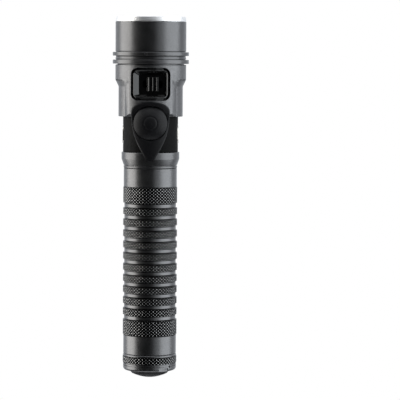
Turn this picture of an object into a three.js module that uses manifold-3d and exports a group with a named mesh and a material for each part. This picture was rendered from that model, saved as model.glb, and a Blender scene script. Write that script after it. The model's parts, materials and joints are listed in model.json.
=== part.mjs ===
// Rechargeable tactical flashlight, modelled as an assembly of separate pieces.
// Millimetres. +Z runs along the body axis towards the lens, the switches face -Y.
// The origin lies on the axis, half way up the charging neck that a charger grips.

import * as THREE from 'three';
import { mergeVertices } from 'three/addons/utils/BufferGeometryUtils.js';
import Module from 'manifold-3d';

const wasm = await Module();
wasm.setup();

// ---- driving dimensions ----

const GAP = 0.3; // clearance between pieces that touch on the real object

const HEAD_RADIUS = 17.6;
const HEAD_BORE = 15.2;
const FLANGE_RADIUS = 18.95;
const FLANGES = [[35.1, 37.1], [39.05, 40.9]]; // lower and upper edge of each cooling flange
const RIM_TOP = 58.4;
const RIM_BOTTOM = 56.25;
const FACE_CAP_BOTTOM = 35.1;
const HOUSING_BOTTOM = 9;
const HOUSING_FLOOR = 12;
const SPIGOT_RADIUS = 15.9;
const SPIGOT_TOP = 42.2;
const POCKET_RADIUS = 16.3;
const POCKET_EDGE = 12.65; // distance of a side pocket's front edge from the middle plane
const POCKET_TOP = 27.2;

const LENS_BOTTOM = 54.6;
const LENS_THICKNESS = 1.5;
const MOUTH_RADIUS = 14.2;
const THROAT_RADIUS = 3.8;
const THROAT_LEVEL = 33;
const MOUTH_LEVEL = 54;
const LED_BOARD_LEVEL = 30.1;
const HEAT_SINK_TOP = 29.8;
const INNER_FLAT = -7.9; // front flat of the heat sink and the lamp board

const SELECTOR_WIDTH = 18.9;
const SELECTOR_HEIGHT = 16;
const SELECTOR_LEVEL = 25.1;
const SELECTOR_CORNER = 3.2;
const SELECTOR_FLOOR = -13.4; // floor of the finger recess, measured along Y
const SELECTOR_OFFSET = 1; // the slider's place to the right of the middle plane
const RIB_PITCH = 1.95;
const SELECTOR_TRAVEL = 3;

const BUTTON_LEVEL = 5.9;
const BUTTON_RADIUS = 8.3;
const BUTTON_BACK = -14.9;
const BUTTON_FRONT = -19.4;
const WELL_FLOOR = -13.4;
const SWITCH_POCKET_RADIUS = 5.2;
const BOOT_HALF_WIDTH = 9.2;
const BOOT_TOP = 16.2;
const BOOT_TIP = -12.7;
const BOOT_THICKNESS = 1.1;
// radius of the boot's outer face about the body axis, at rising levels
const BOOT_FACE = [[15.7, -13.5], [16.1, -9], [17, 0], [17.6, 6], [18, 13], [18, 17]];

const NECK_RADIUS = 13.7;
const NECK_BORE = 11.9;
const NECK_BOTTOM = -8.4;
const NECK_TOP = 8.7;
const CORE_RADIUS = 11.6;
const CORE_BORE = 10.3;
const CORE_TOP = 12.4;
const CONTACT_FACE = 13.9;
const COLLAR_RADIUS = 14.4;
const COLLAR_TOP = -8.75;
const COLLAR_BOTTOM = -16.6;

const BARREL_RADIUS = 13.25;
const BARREL_TOP = -16.9;
const BARREL_BOTTOM = -109.6;
const BARREL_BORE = 9.8;
const KNURL_RADIUS = 13.5;
const GROOVE_RADIUS = 12.7;
const UPPER_KNURL = [-34.5, -26.1];
const LOWER_KNURL = [-100.25, -92];
const RING_COUNT = 10;
const RING_PITCH = 5.58;
const FIRST_RING = -38.15;
const RING_HALF_BASE = 1.95;
const RING_HALF_TOP = 1.4;
const HEAD_SPIGOT_RADIUS = 11.2;
const HEAD_SPIGOT_BORE = 11.5;
const TAIL_THREAD_BORE = 11.7;
const TAIL_THREAD_TOP = -99.4;

const CELL_RADIUS = 9.2;
const CELL_BOTTOM = -98;
const CELL_LENGTH = 65.2;

const TAIL_RADIUS = 13.3;
const TAIL_TOP = -109.9;
const TAIL_END = -117.95;
const TAIL_SPIGOT_RADIUS = 11.4;
const TAIL_SPIGOT_TOP = -100.6;
const TAIL_BORE = 9.8;
const TAIL_BAND = [-114, -110.85];
const TAIL_HOLE = 9.9;
const BOOT_BORE = 10.7; // room round the tail boot's flange
const BOOT_BORE_TOP = -112.4;
const TAIL_FLOOR = -115.5;
const DOME_RADIUS = 9.6;
const DOME_TIP = -121.8;
const DOME_BULGE = 18.5; // radius of the dome's flat cap
const DOME_WALL = 1.3;
const LANYARD_ANGLE = 50; // degrees to the right of the switch side
const LANYARD_FLAT_ANGLE = 33;

const HEAD_SIDES = 32;
const GRIP_SIDES = 24;
const SMALL_SIDES = 18;

// ---- materials ----

function finish(color, roughness, metalness) {
  return new THREE.MeshStandardMaterial({ color, roughness, metalness });
}

const ANODISED = finish(0x4a4b4d, 0.42, 0.8);
const POLISHED = finish(0xc9cacb, 0.16, 1);
const GLOSS_BLACK = finish(0x0c0c0d, 0.12, 0);
const RUBBER = finish(0x1b1c1e, 0.62, 0);
const POLYMER = finish(0x121213, 0.5, 0);
const SEAL = finish(0x0b0b0b, 0.7, 0);
const GLASS = finish(0xdfe6e6, 0.03, 0);
const MIRROR = finish(0xe4e4e2, 0.06, 1);
const RAW_ALUMINIUM = finish(0xa9abad, 0.35, 1);
const NICKEL = finish(0xb9b7b0, 0.2, 1);
const GOLD = finish(0xc79b46, 0.22, 1);
const CIRCUIT = finish(0x16432c, 0.4, 0);
const WHITE_BOARD = finish(0xe9e9e4, 0.5, 0);
const PHOSPHOR = finish(0xe7c93c, 0.3, 0);
const CELL_WRAP = finish(0x2b5a86, 0.35, 0);
const RED_WIRE = finish(0x8d1515, 0.45, 0);
const BLACK_WIRE = finish(0x101010, 0.45, 0);

// ---- solids ----

// A closed manifold solid from any closed three.js geometry.
function solid(geometry) {
  const bare = new THREE.BufferGeometry();
  bare.setAttribute('position', geometry.getAttribute('position'));
  bare.setIndex(geometry.getIndex());
  const merged = mergeVertices(bare, 1e-4);
  const index = merged.getIndex().array;
  const kept = [];
  for (let i = 0; i < index.length; i += 3) {
    const [a, b, c] = [index[i], index[i + 1], index[i + 2]];
    if (a !== b && b !== c && c !== a) kept.push(a, b, c);
  }
  const vertProperties = new Float32Array(merged.getAttribute('position').array);
  const triVerts = new Uint32Array(kept);
  return new wasm.Manifold(new wasm.Mesh({ numProp: 3, vertProperties, triVerts }));
}

function toGeometry(body) {
  const mesh = body.getMesh();
  const geometry = new THREE.BufferGeometry();
  geometry.setAttribute('position', new THREE.BufferAttribute(mesh.vertProperties, 3));
  geometry.setIndex(new THREE.BufferAttribute(mesh.triVerts, 1));
  geometry.computeVertexNormals();
  return geometry;
}

// A body of revolution about Z. The outline is a list of [radius, z] that closes on itself.
function lathe(outline, sides = HEAD_SIDES) {
  const points = outline.map(([r, z]) => new THREE.Vector2(r, z));
  if (THREE.ShapeUtils.area(points) < 0) points.reverse();
  points.push(points[0].clone());
  const geometry = new THREE.LatheGeometry(points, sides);
  geometry.rotateX(Math.PI / 2);
  return solid(geometry);
}

function ring(inner, outer, bottom, top, sides = HEAD_SIDES) {
  return lathe([[inner, bottom], [outer, bottom], [outer, top], [inner, top]], sides);
}

function disc(radius, bottom, top, sides = HEAD_SIDES) {
  return ring(0, radius, bottom, top, sides);
}

// An O-ring of round section about Z.
function seal(radius, thickness, level) {
  const geometry = new THREE.TorusGeometry(radius, thickness / 2, 6, GRIP_SIDES);
  geometry.translate(0, 0, level);
  return solid(geometry);
}

function box(low, high) {
  const size = high.map((value, i) => value - low[i]);
  const geometry = new THREE.BoxGeometry(...size);
  geometry.translate(...low.map((value, i) => value + size[i] / 2));
  return solid(geometry);
}

// A prism along Y. The shape is drawn in X and Z, as seen from the switch side.
function prism(shape, nearest, farthest) {
  const depth = farthest - nearest;
  const geometry = new THREE.ExtrudeGeometry(shape, { depth, bevelEnabled: false, curveSegments: 6 });
  geometry.rotateX(Math.PI / 2);
  geometry.translate(0, farthest, 0);
  return solid(geometry);
}

// A prism along Z. The shape is drawn in X and Y.
function column(shape, bottom, top) {
  const geometry = new THREE.ExtrudeGeometry(shape, { depth: top - bottom, bevelEnabled: false });
  geometry.translate(0, 0, bottom);
  return solid(geometry);
}

// A round bar along Y.
function barAlongY(radius, nearest, farthest, level, sides = SMALL_SIDES) {
  const geometry = new THREE.CylinderGeometry(radius, radius, farthest - nearest, sides);
  geometry.translate(0, (nearest + farthest) / 2, level);
  return solid(geometry);
}

function roundedRectangle(width, height, corner, level) {
  const [w, h] = [width / 2 - corner, height / 2 - corner];
  const shape = new THREE.Shape();
  shape.absarc(w, level + h, corner, 0, Math.PI / 2);
  shape.absarc(-w, level + h, corner, Math.PI / 2, Math.PI);
  shape.absarc(-w, level - h, corner, Math.PI, Math.PI * 1.5);
  shape.absarc(w, level - h, corner, Math.PI * 1.5, Math.PI * 2);
  return shape;
}

// A round wire along a curve.
function wire(curve, radius, steps, sides) {
  const section = new THREE.Shape();
  section.absarc(0, 0, radius, 0, Math.PI * 2);
  const options = { steps, extrudePath: curve, curveSegments: sides, bevelEnabled: false };
  return solid(new THREE.ExtrudeGeometry(section, options));
}

class Helix extends THREE.Curve {
  constructor(radiusBottom, radiusTop, bottom, top, turns) {
    super();
    Object.assign(this, { radiusBottom, radiusTop, bottom, top, turns });
  }

  getPoint(t, target = new THREE.Vector3()) {
    const radius = this.radiusBottom + (this.radiusTop - this.radiusBottom) * t;
    const angle = 2 * Math.PI * this.turns * t;
    const z = this.bottom + (this.top - this.bottom) * t;
    return target.set(radius * Math.cos(angle), radius * Math.sin(angle), z);
  }
}

function spring(radiusBottom, radiusTop, bottom, top, turns, wireRadius) {
  const curve = new Helix(radiusBottom, radiusTop, bottom + wireRadius, top - wireRadius, turns);
  return wire(curve, wireRadius, turns * 10, 2);
}

// ---- head ----

function faceBezel() {
  const skirt = [16.3, 15.3];
  return lathe([
    [skirt[1], 50.6], [skirt[0], 50.6], [skirt[0], RIM_BOTTOM], [HEAD_RADIUS - 0.15, RIM_BOTTOM],
    [HEAD_RADIUS, RIM_BOTTOM + 0.15], [HEAD_RADIUS, RIM_TOP - 0.55],
    [HEAD_RADIUS - 0.16, RIM_TOP - 0.16], [HEAD_RADIUS - 0.55, RIM_TOP],
    [15.1, RIM_TOP], [MOUTH_RADIUS, RIM_TOP - 0.9], [MOUTH_RADIUS, 57.2], [skirt[1], 57.2],
  ]);
}

function reflector() {
  const steps = 5;
  const spread = MOUTH_RADIUS ** 2 - THROAT_RADIUS ** 2;
  const bowl = [];
  for (let i = 0; i <= steps; i += 1) {
    const z = THROAT_LEVEL + ((MOUTH_LEVEL - THROAT_LEVEL) * i) / steps;
    const share = (z - THROAT_LEVEL) / (MOUTH_LEVEL - THROAT_LEVEL);
    bowl.push([Math.sqrt(THROAT_RADIUS ** 2 + spread * share), z]);
  }
  const outside = bowl.map(([r, z]) => [Math.max(r + 0.8, 6.4), z - 0.9]);
  const shell = outside.filter(([, z]) => z > THROAT_LEVEL);
  const base = [[6.4, THROAT_LEVEL]];
  const lip = [[15, 53.1], [15, LENS_BOTTOM - GAP], [MOUTH_RADIUS, LENS_BOTTOM - GAP]];
  return lathe([...base, ...shell, ...lip, ...bowl.reverse()], GRIP_SIDES);
}

function ledCentringRing() {
  return ring(THROAT_RADIUS + 0.1, 6.8, THROAT_LEVEL - 1, THROAT_LEVEL - GAP, SMALL_SIDES);
}

function ledEmitter() {
  const base = box([-1.75, -1.75, 32], [1.75, 1.75, 32.7]);
  const dome = lathe([[0, 32.6], [1.4, 32.6], [1.25, 33.1], [0.75, 33.45], [0, 33.6]], 16);
  return base.add(dome);
}

function ledLeadHoles(radius) {
  const place = (x) => disc(radius, 10, 40, 12).translate(x, 6.8, 0);
  return place(-7.4).add(place(7.4));
}

function ledBoard() {
  const board = disc(9.5, LED_BOARD_LEVEL, LED_BOARD_LEVEL + 1.6);
  return board.subtract(box([-12, -12, 20], [12, INNER_FLAT, 40])).subtract(ledLeadHoles(0.9));
}

function ledBoardScrew(side) {
  const head = lathe([[0, 32], [1.3, 32], [1.3, 32.6], [0.9, 33], [0, 33]], 16);
  const slot = box([-1.4, -0.2, 32.6], [1.4, 0.2, 33.4]);
  return head.subtract(slot).translate(side * 8.1, 0, 0);
}

function heatSink() {
  const plate = disc(HEAD_BORE - GAP, 26.5, HEAT_SINK_TOP);
  const block = disc(12.5, 14, 27);
  const front = box([-20, -20, 10], [20, INNER_FLAT, 40]);
  return plate.add(block).subtract(front).subtract(ledLeadHoles(0.9));
}

function ledLead(side) {
  const route = [
    [5.5, 4.6, -0.3], [5.5, 4.6, 5], [7, 6.4, 11], [7.4, 6.8, 17], [7.4, 6.8, 24],
    [7.4, 6.8, 30], [7.2, 6.3, 32.4], [6.1, 5.1, 32.9],
  ];
  const points = route.map(([x, y, z]) => new THREE.Vector3(side * x, y, z));
  return wire(new THREE.CatmullRomCurve3(points, false, 'centripetal'), 0.5, 18, 2);
}

function faceCap() {
  const outer = [];
  for (const [bottom, top] of FLANGES) {
    outer.push([HEAD_RADIUS, bottom], [FLANGE_RADIUS - 0.15, bottom], [FLANGE_RADIUS, bottom + 0.15]);
    outer.push([FLANGE_RADIUS, top - 0.15], [FLANGE_RADIUS - 0.15, top], [HEAD_RADIUS, top]);
  }
  return lathe([
    [16.2, FACE_CAP_BOTTOM], ...outer, [HEAD_RADIUS, 55.7], [HEAD_RADIUS - 0.2, 55.9],
    [16.6, 55.9], [16.6, 50.3], [15.4, 50.3], [15.4, 42.6], [16.2, 42.6],
  ]);
}

// The teardrop outline of the rubber boot, grown outwards by a margin.
function bootOutline(margin = 0) {
  const shoulder = BOOT_TOP - 4.8;
  const half = BOOT_HALF_WIDTH + margin;
  const top = BOOT_TOP + margin;
  const tipRadius = 3 + margin;
  const tipCentre = BOOT_TIP + 3;
  const shape = new THREE.Shape();
  shape.moveTo(half, shoulder);
  shape.bezierCurveTo(half, top - 1.7, half * 0.64, top, 0, top);
  shape.bezierCurveTo(-half * 0.64, top, -half, top - 1.7, -half, shoulder);
  shape.bezierCurveTo(-half, 1, -half + 2.2, -3.5, -tipRadius * 0.87, tipCentre - tipRadius * 0.5);
  shape.absarc(0, tipCentre, tipRadius, Math.PI * (7 / 6), Math.PI * (11 / 6));
  shape.bezierCurveTo(half - 2.2, -3.5, half, 1, half, shoulder);
  return shape;
}

// A solid of revolution whose side is the boot's face, moved inwards by an inset.
function bootFace(inset) {
  const side = BOOT_FACE.map(([r, z]) => [r - inset, z]);
  return lathe([[0, side[0][1]], ...side, [0, side[side.length - 1][1]]]);
}

function switchWell() {
  const well = barAlongY(BUTTON_RADIUS + GAP, -25, WELL_FLOOR, BUTTON_LEVEL, HEAD_SIDES);
  return well.add(barAlongY(SWITCH_POCKET_RADIUS, -20, -8, BUTTON_LEVEL));
}

function sidePocket(side) {
  const corner = 2.5;
  const shape = new THREE.Shape();
  shape.moveTo(side * POCKET_EDGE, HOUSING_BOTTOM - 1);
  shape.lineTo(side * POCKET_EDGE, POCKET_TOP - corner);
  shape.quadraticCurveTo(side * POCKET_EDGE, POCKET_TOP, side * (POCKET_EDGE + corner), POCKET_TOP);
  shape.lineTo(side * 20, POCKET_TOP);
  shape.lineTo(side * 20, HOUSING_BOTTOM - 1);
  const sloped = lathe([
    [POCKET_RADIUS, HOUSING_BOTTOM - 1], [19, HOUSING_BOTTOM - 1],
    [19, POCKET_TOP + 2.8], [HEAD_RADIUS, POCKET_TOP], [POCKET_RADIUS, 24.25],
  ]);
  return sloped.intersect(prism(shape, -20, 20));
}

function headHousing() {
  const shell = lathe([
    [NECK_BORE, HOUSING_BOTTOM], [POCKET_RADIUS - 0.4, HOUSING_BOTTOM],
    [HEAD_RADIUS, HOUSING_BOTTOM + 1.4], [HEAD_RADIUS, FACE_CAP_BOTTOM - GAP],
    [SPIGOT_RADIUS, FACE_CAP_BOTTOM - GAP],
    [SPIGOT_RADIUS, 40.7], [SPIGOT_RADIUS - 1, 40.7], [SPIGOT_RADIUS - 1, 41.7],
    [SPIGOT_RADIUS, 41.7], [SPIGOT_RADIUS, SPIGOT_TOP], [14.2, SPIGOT_TOP], [14.2, 38],
    [HEAD_BORE, 36.5], [HEAD_BORE, HOUSING_FLOOR], [NECK_BORE, HOUSING_FLOOR],
  ]);
  const window = roundedRectangle(SELECTOR_WIDTH, SELECTOR_HEIGHT, SELECTOR_CORNER, SELECTOR_LEVEL);
  const bootSeat = prism(bootOutline(GAP), -25, -8).subtract(disc(16.5, 0, 30));
  return shell
    .subtract(prism(window, -25, -8))
    .subtract(bootSeat)
    .subtract(switchWell())
    .subtract(sidePocket(-1))
    .subtract(sidePocket(1));
}

// ---- selector switch ----

function selectorBezel() {
  const [width, height] = [SELECTOR_WIDTH - 0.9, SELECTOR_HEIGHT - 0.9];
  const frame = roundedRectangle(width, height, SELECTOR_CORNER - 0.4, SELECTOR_LEVEL);
  const recess = new THREE.Shape();
  recess.moveTo(-8.1, -20);
  recess.lineTo(-8.1, -15.9);
  recess.lineTo(-5.75, SELECTOR_FLOOR);
  recess.lineTo(7.3, SELECTOR_FLOOR);
  recess.lineTo(8, -15.9);
  recess.lineTo(8, -20);
  const slot = roundedRectangle(9.6, 3.4, 1, SELECTOR_LEVEL);
  return prism(frame, -20, -11.6)
    .intersect(disc(HEAD_RADIUS - 0.1, 10, 40))
    .subtract(column(recess, SELECTOR_LEVEL - 5.9, SELECTOR_LEVEL + 5.5))
    .subtract(prism(slot, -25, -5).translate(SELECTOR_OFFSET, 0, 0));
}

function selectorSlider() {
  const [left, right] = [SELECTOR_OFFSET - 2.6, SELECTOR_OFFSET + 2.6];
  let slider = box([left, -15, SELECTOR_LEVEL - 3.6], [right, SELECTOR_FLOOR - GAP, SELECTOR_LEVEL + 3.6]);
  for (const step of [-1, 0, 1]) {
    const x = SELECTOR_OFFSET + step * RIB_PITCH;
    const rib = new THREE.Shape();
    rib.moveTo(x - 0.85, -14.9);
    rib.lineTo(x - 0.15, -16);
    rib.lineTo(x + 0.15, -16);
    rib.lineTo(x + 0.85, -14.9);
    slider = slider.add(column(rib, SELECTOR_LEVEL - 3.4, SELECTOR_LEVEL + 3.4));
  }
  const [stemLeft, stemRight] = [SELECTOR_OFFSET - 1, SELECTOR_OFFSET + 1];
  const stem = box([stemLeft, -14, SELECTOR_LEVEL - 1.3], [stemRight, -11.4, SELECTOR_LEVEL + 1.3]);
  return slider.add(stem);
}

function selectorShuttle() {
  const [left, right] = [SELECTOR_OFFSET - 3, SELECTOR_OFFSET + 3];
  return box([left, -11.1, SELECTOR_LEVEL - 2.5], [right, -9.7, SELECTOR_LEVEL + 2.5]);
}

function selectorDetentLeaf() {
  const notches = [-SELECTOR_TRAVEL, 0, SELECTOR_TRAVEL];
  let leaf = box([-7, -11.2, 19.8], [7, -10.7, 21.6]);
  for (const x of notches) {
    leaf = leaf.subtract(barAlongY(0.5, -12, -10, 21.6, 12).translate(x + SELECTOR_OFFSET, 0, 0));
  }
  return leaf;
}

function selectorBoard() {
  return box([-8.5, -9.3, 18.6], [8.5, -8.3, 31.4]);
}

// ---- push-button ----

function switchBoot() {
  return prism(bootOutline(), -25, -8)
    .intersect(bootFace(0))
    .subtract(bootFace(BOOT_THICKNESS))
    .subtract(barAlongY(BUTTON_RADIUS + GAP, -25, -5, BUTTON_LEVEL, HEAD_SIDES));
}

function headButton() {
  const rim = -16.4;
  const rise = rim - BUTTON_FRONT;
  const steps = 6;
  const outline = [[0, BUTTON_BACK], [BUTTON_RADIUS, BUTTON_BACK]];
  for (let i = 0; i <= steps; i += 1) {
    const angle = (Math.PI / 2) * (i / steps);
    outline.push([BUTTON_RADIUS * Math.cos(angle), rim - rise * Math.sin(angle)]);
  }
  const turned = lathe(outline.map(([r, y]) => [r, -y]));
  return turned.rotate([90, 0, 0]).translate(0, 0, BUTTON_LEVEL);
}

function tactileStem() {
  return barAlongY(1.6, -14.6, -12.4, BUTTON_LEVEL, 16);
}

function tactileSwitch() {
  const body = box([-3.2, -12.8, BUTTON_LEVEL - 3.2], [3.2, -10.3, BUTTON_LEVEL + 3.2]);
  return body.subtract(barAlongY(1.9, -15, -11, BUTTON_LEVEL, 16));
}

function switchBoard() {
  return barAlongY(4.9, -10, -9, BUTTON_LEVEL);
}

// ---- neck ----

function contactPocket(side) {
  const inner = CONTACT_FACE - 1.5;
  return box([inner, -3.3, -4.9], [20, 3.3, 4.9]).rotate([0, 0, side > 0 ? 0 : 180]);
}

function studHole(side, radius) {
  const geometry = new THREE.CylinderGeometry(radius, radius, 8, 16);
  geometry.rotateZ(Math.PI / 2);
  geometry.translate(side * 12, 0, 0);
  return solid(geometry);
}

function neckCollar() {
  const boss = prism(bootOutline(-0.9), -20, -10)
    .intersect(bootFace(BOOT_THICKNESS + GAP))
    .intersect(disc(20, NECK_BOTTOM, NECK_TOP));
  return disc(NECK_RADIUS, NECK_BOTTOM, NECK_TOP)
    .add(boss)
    .subtract(disc(NECK_BORE, -20, 20))
    .subtract(switchWell())
    .subtract(contactPocket(1))
    .subtract(contactPocket(-1))
    .subtract(studHole(1, 1.3))
    .subtract(studHole(-1, 1.3));
}

function chargeContact(side) {
  const shape = new THREE.Shape();
  shape.absarc(0, 1.6, 3, 0, Math.PI);
  shape.absarc(0, -1.6, 3, Math.PI, Math.PI * 2);
  const pad = prism(shape, 0, 1.2).rotate([0, 0, 90]).translate(CONTACT_FACE, 0, 0);
  const stud = studHole(1, 0.9).translate(-1, 0, 0).intersect(box([9, -2, -2], [13.2, 2, 2]));
  return pad.add(stud).rotate([0, 0, side > 0 ? 0 : 180]);
}

function lowerCollar() {
  return lathe([
    [HEAD_SPIGOT_BORE, COLLAR_BOTTOM], [13.1, COLLAR_BOTTOM], [13.3, COLLAR_BOTTOM + 0.2],
    [13.3, -15.9], [COLLAR_RADIUS, -12.1], [COLLAR_RADIUS, COLLAR_TOP - 0.3],
    [COLLAR_RADIUS - 0.3, COLLAR_TOP], [CORE_RADIUS, COLLAR_TOP], [CORE_RADIUS, CORE_TOP],
    [CORE_BORE, CORE_TOP], [CORE_BORE, -9.2], [HEAD_SPIGOT_BORE, -9.2],
  ])
    .subtract(barAlongY(SWITCH_POCKET_RADIUS, -20, -5, BUTTON_LEVEL))
    .subtract(studHole(1, 1.6))
    .subtract(studHole(-1, 1.6));
}

function controlBoard() {
  const board = disc(8.6, -2, -0.8);
  const parts = [
    [[-6, -4.5, -0.9], [-1.5, 0.5, 0.4]],
    [[1, -5, -0.9], [4.6, -1.2, 1.4]],
    [[-3.4, 2.6, -0.9], [3, 6.4, 0.1]],
  ];
  return parts.reduce((body, [low, high]) => body.add(box(low, high)), board);
}

function contactCarrier() {
  return lathe([
    [0, -24.7], [9.4, -24.7], [9.4, -21.4], [5.4, -20.4],
    [5.4, -14], [9.4, -13], [9.4, -10.2], [0, -10.2],
  ], GRIP_SIDES);
}

function frontContactSpring() {
  return spring(3.6, 3, -31, -25, 4, 0.45);
}

// ---- barrel and battery ----

function barrel() {
  const rings = [];
  for (let i = RING_COUNT - 1; i >= 0; i -= 1) {
    const centre = FIRST_RING - i * RING_PITCH;
    rings.push([GROOVE_RADIUS, centre - RING_HALF_BASE], [KNURL_RADIUS, centre - RING_HALF_TOP]);
    rings.push([KNURL_RADIUS, centre + RING_HALF_TOP], [GROOVE_RADIUS, centre + RING_HALF_BASE]);
  }
  return lathe([
    [TAIL_THREAD_BORE, BARREL_BOTTOM], [BARREL_RADIUS - 0.25, BARREL_BOTTOM],
    [BARREL_RADIUS - 0.05, BARREL_BOTTOM + 0.2], [BARREL_RADIUS - 0.05, LOWER_KNURL[0]],
    [KNURL_RADIUS, LOWER_KNURL[0] + 0.2], [KNURL_RADIUS, LOWER_KNURL[1] - 0.5],
    [GROOVE_RADIUS, LOWER_KNURL[1]],
    ...rings,
    [GROOVE_RADIUS, UPPER_KNURL[0]], [KNURL_RADIUS, UPPER_KNURL[0] + 0.5],
    [KNURL_RADIUS, UPPER_KNURL[1] - 0.2], [BARREL_RADIUS, UPPER_KNURL[1]],
    [BARREL_RADIUS, BARREL_TOP - 0.25], [BARREL_RADIUS - 0.25, BARREL_TOP],
    [HEAD_SPIGOT_RADIUS, BARREL_TOP], [HEAD_SPIGOT_RADIUS, -16], [10.5, -16], [10.5, -15],
    [HEAD_SPIGOT_RADIUS, -15], [HEAD_SPIGOT_RADIUS, -9.6], [BARREL_BORE, -9.6],
    [BARREL_BORE, TAIL_THREAD_TOP], [TAIL_THREAD_BORE, TAIL_THREAD_TOP],
  ], GRIP_SIDES);
}

function batteryCell() {
  const top = CELL_BOTTOM + CELL_LENGTH;
  return lathe([
    [0, CELL_BOTTOM], [CELL_RADIUS - 0.5, CELL_BOTTOM], [CELL_RADIUS, CELL_BOTTOM + 0.5],
    [CELL_RADIUS, top - 2.6], [CELL_RADIUS - 0.35, top - 2.2], [CELL_RADIUS - 0.35, top - 1.7],
    [CELL_RADIUS, top - 1.3], [CELL_RADIUS, top - 0.5], [CELL_RADIUS - 0.5, top], [0, top],
  ], GRIP_SIDES);
}

function batteryPositiveCap() {
  const bottom = CELL_BOTTOM + CELL_LENGTH + GAP;
  return lathe([[0, bottom], [4.2, bottom], [3.3, bottom + 1.1], [0, bottom + 1.1]], SMALL_SIDES);
}

// ---- tail cap ----

// A slanted hole from the end face to the side.
function lanyardHole() {
  const geometry = new THREE.CylinderGeometry(0.75, 0.75, 8, 12);
  geometry.rotateX(Math.PI / 2);
  geometry.rotateY(Math.PI / 6);
  geometry.translate(12.1, 0, TAIL_END + 1.65);
  return solid(geometry).rotate([0, 0, LANYARD_ANGLE - 90]);
}

// The flat ground on the side, next to the lanyard hole.
function lanyardFlat() {
  const flat = box([12.45, -3.4, TAIL_END - 1], [15, 3.4, TAIL_END + 2.4]);
  return flat.rotate([0, 0, LANYARD_FLAT_ANGLE - 90]);
}

function tailCap() {
  const grooves = [];
  for (const level of [TAIL_END + 2.7, TAIL_END + 3.5]) {
    grooves.push([TAIL_RADIUS, level - 0.15], [TAIL_RADIUS - 0.22, level], [TAIL_RADIUS, level + 0.15]);
  }
  const round = [];
  for (const degrees of [0, 22, 45, 67, 90]) {
    const angle = THREE.MathUtils.degToRad(degrees);
    round.push([TAIL_RADIUS - 1.4 + 1.4 * Math.sin(angle), TAIL_END + 1.1 - 1.1 * Math.cos(angle)]);
  }
  const cap = lathe([
    [TAIL_HOLE, TAIL_END], ...round, ...grooves,
    [KNURL_RADIUS, TAIL_BAND[0]], [KNURL_RADIUS, TAIL_BAND[1]], [TAIL_RADIUS, TAIL_BAND[1] + 0.2],
    [TAIL_RADIUS, TAIL_TOP - 0.2], [TAIL_RADIUS - 0.2, TAIL_TOP], [TAIL_SPIGOT_RADIUS, TAIL_TOP],
    [TAIL_SPIGOT_RADIUS, -108.6], [10.5, -108.6], [10.5, -107.4], [TAIL_SPIGOT_RADIUS, -107.4],
    [TAIL_SPIGOT_RADIUS, TAIL_SPIGOT_TOP - 0.4], [TAIL_SPIGOT_RADIUS - 0.4, TAIL_SPIGOT_TOP],
    [TAIL_BORE, TAIL_SPIGOT_TOP], [TAIL_BORE, BOOT_BORE_TOP], [BOOT_BORE, BOOT_BORE_TOP],
    [BOOT_BORE, TAIL_FLOOR], [TAIL_HOLE, TAIL_FLOOR],
  ], GRIP_SIDES);
  return cap.subtract(lanyardHole()).subtract(lanyardFlat());
}

function tailContactBoard() {
  return disc(9.4, -104.3, -103.3, GRIP_SIDES);
}

function tailContactSpring() {
  return spring(4.4, 3, -103, CELL_BOTTOM - GAP, 3, 0.5);
}

function tailSwitchBody() {
  return disc(9.2, -110.6, -104.6, GRIP_SIDES).subtract(disc(2.7, -112, -107.6, SMALL_SIDES));
}

function bootRetainingRing() {
  return ring(7.6, 9.5, -111.8, -110.9, GRIP_SIDES)
    .subtract(box([-11, -0.8, -112.2], [11, 0.8, -111.3]));
}

function tailPlunger() {
  return disc(2.4, -116.8, -109.4, 16);
}

function tailBoot() {
  const [bottom, top] = [TAIL_FLOOR + GAP, TAIL_FLOOR + GAP + 0.9];
  const flange = BOOT_BORE - GAP;
  const inside = DOME_RADIUS - DOME_WALL;
  const shell = [];
  const hollow = [];
  for (const share of [0, 0.35, 0.65, 0.92]) {
    const radius = DOME_RADIUS * share;
    shell.push([radius, DOME_TIP + radius ** 2 / (2 * DOME_BULGE)]);
    hollow.push([inside * share, DOME_TIP + DOME_WALL + (inside * share) ** 2 / (2 * DOME_BULGE)]);
  }
  const rim = shell[shell.length - 1][1] + 1;
  const dome = lathe([
    ...shell, [DOME_RADIUS, rim], [DOME_RADIUS, bottom], [flange, bottom], [flange, top],
    [inside, top], [inside, rim + 0.6], ...hollow.reverse(),
  ], GRIP_SIDES);
  return dome.add(disc(2.2, DOME_TIP + 0.8, -117.1, 16));
}

// ---- assembly ----

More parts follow.
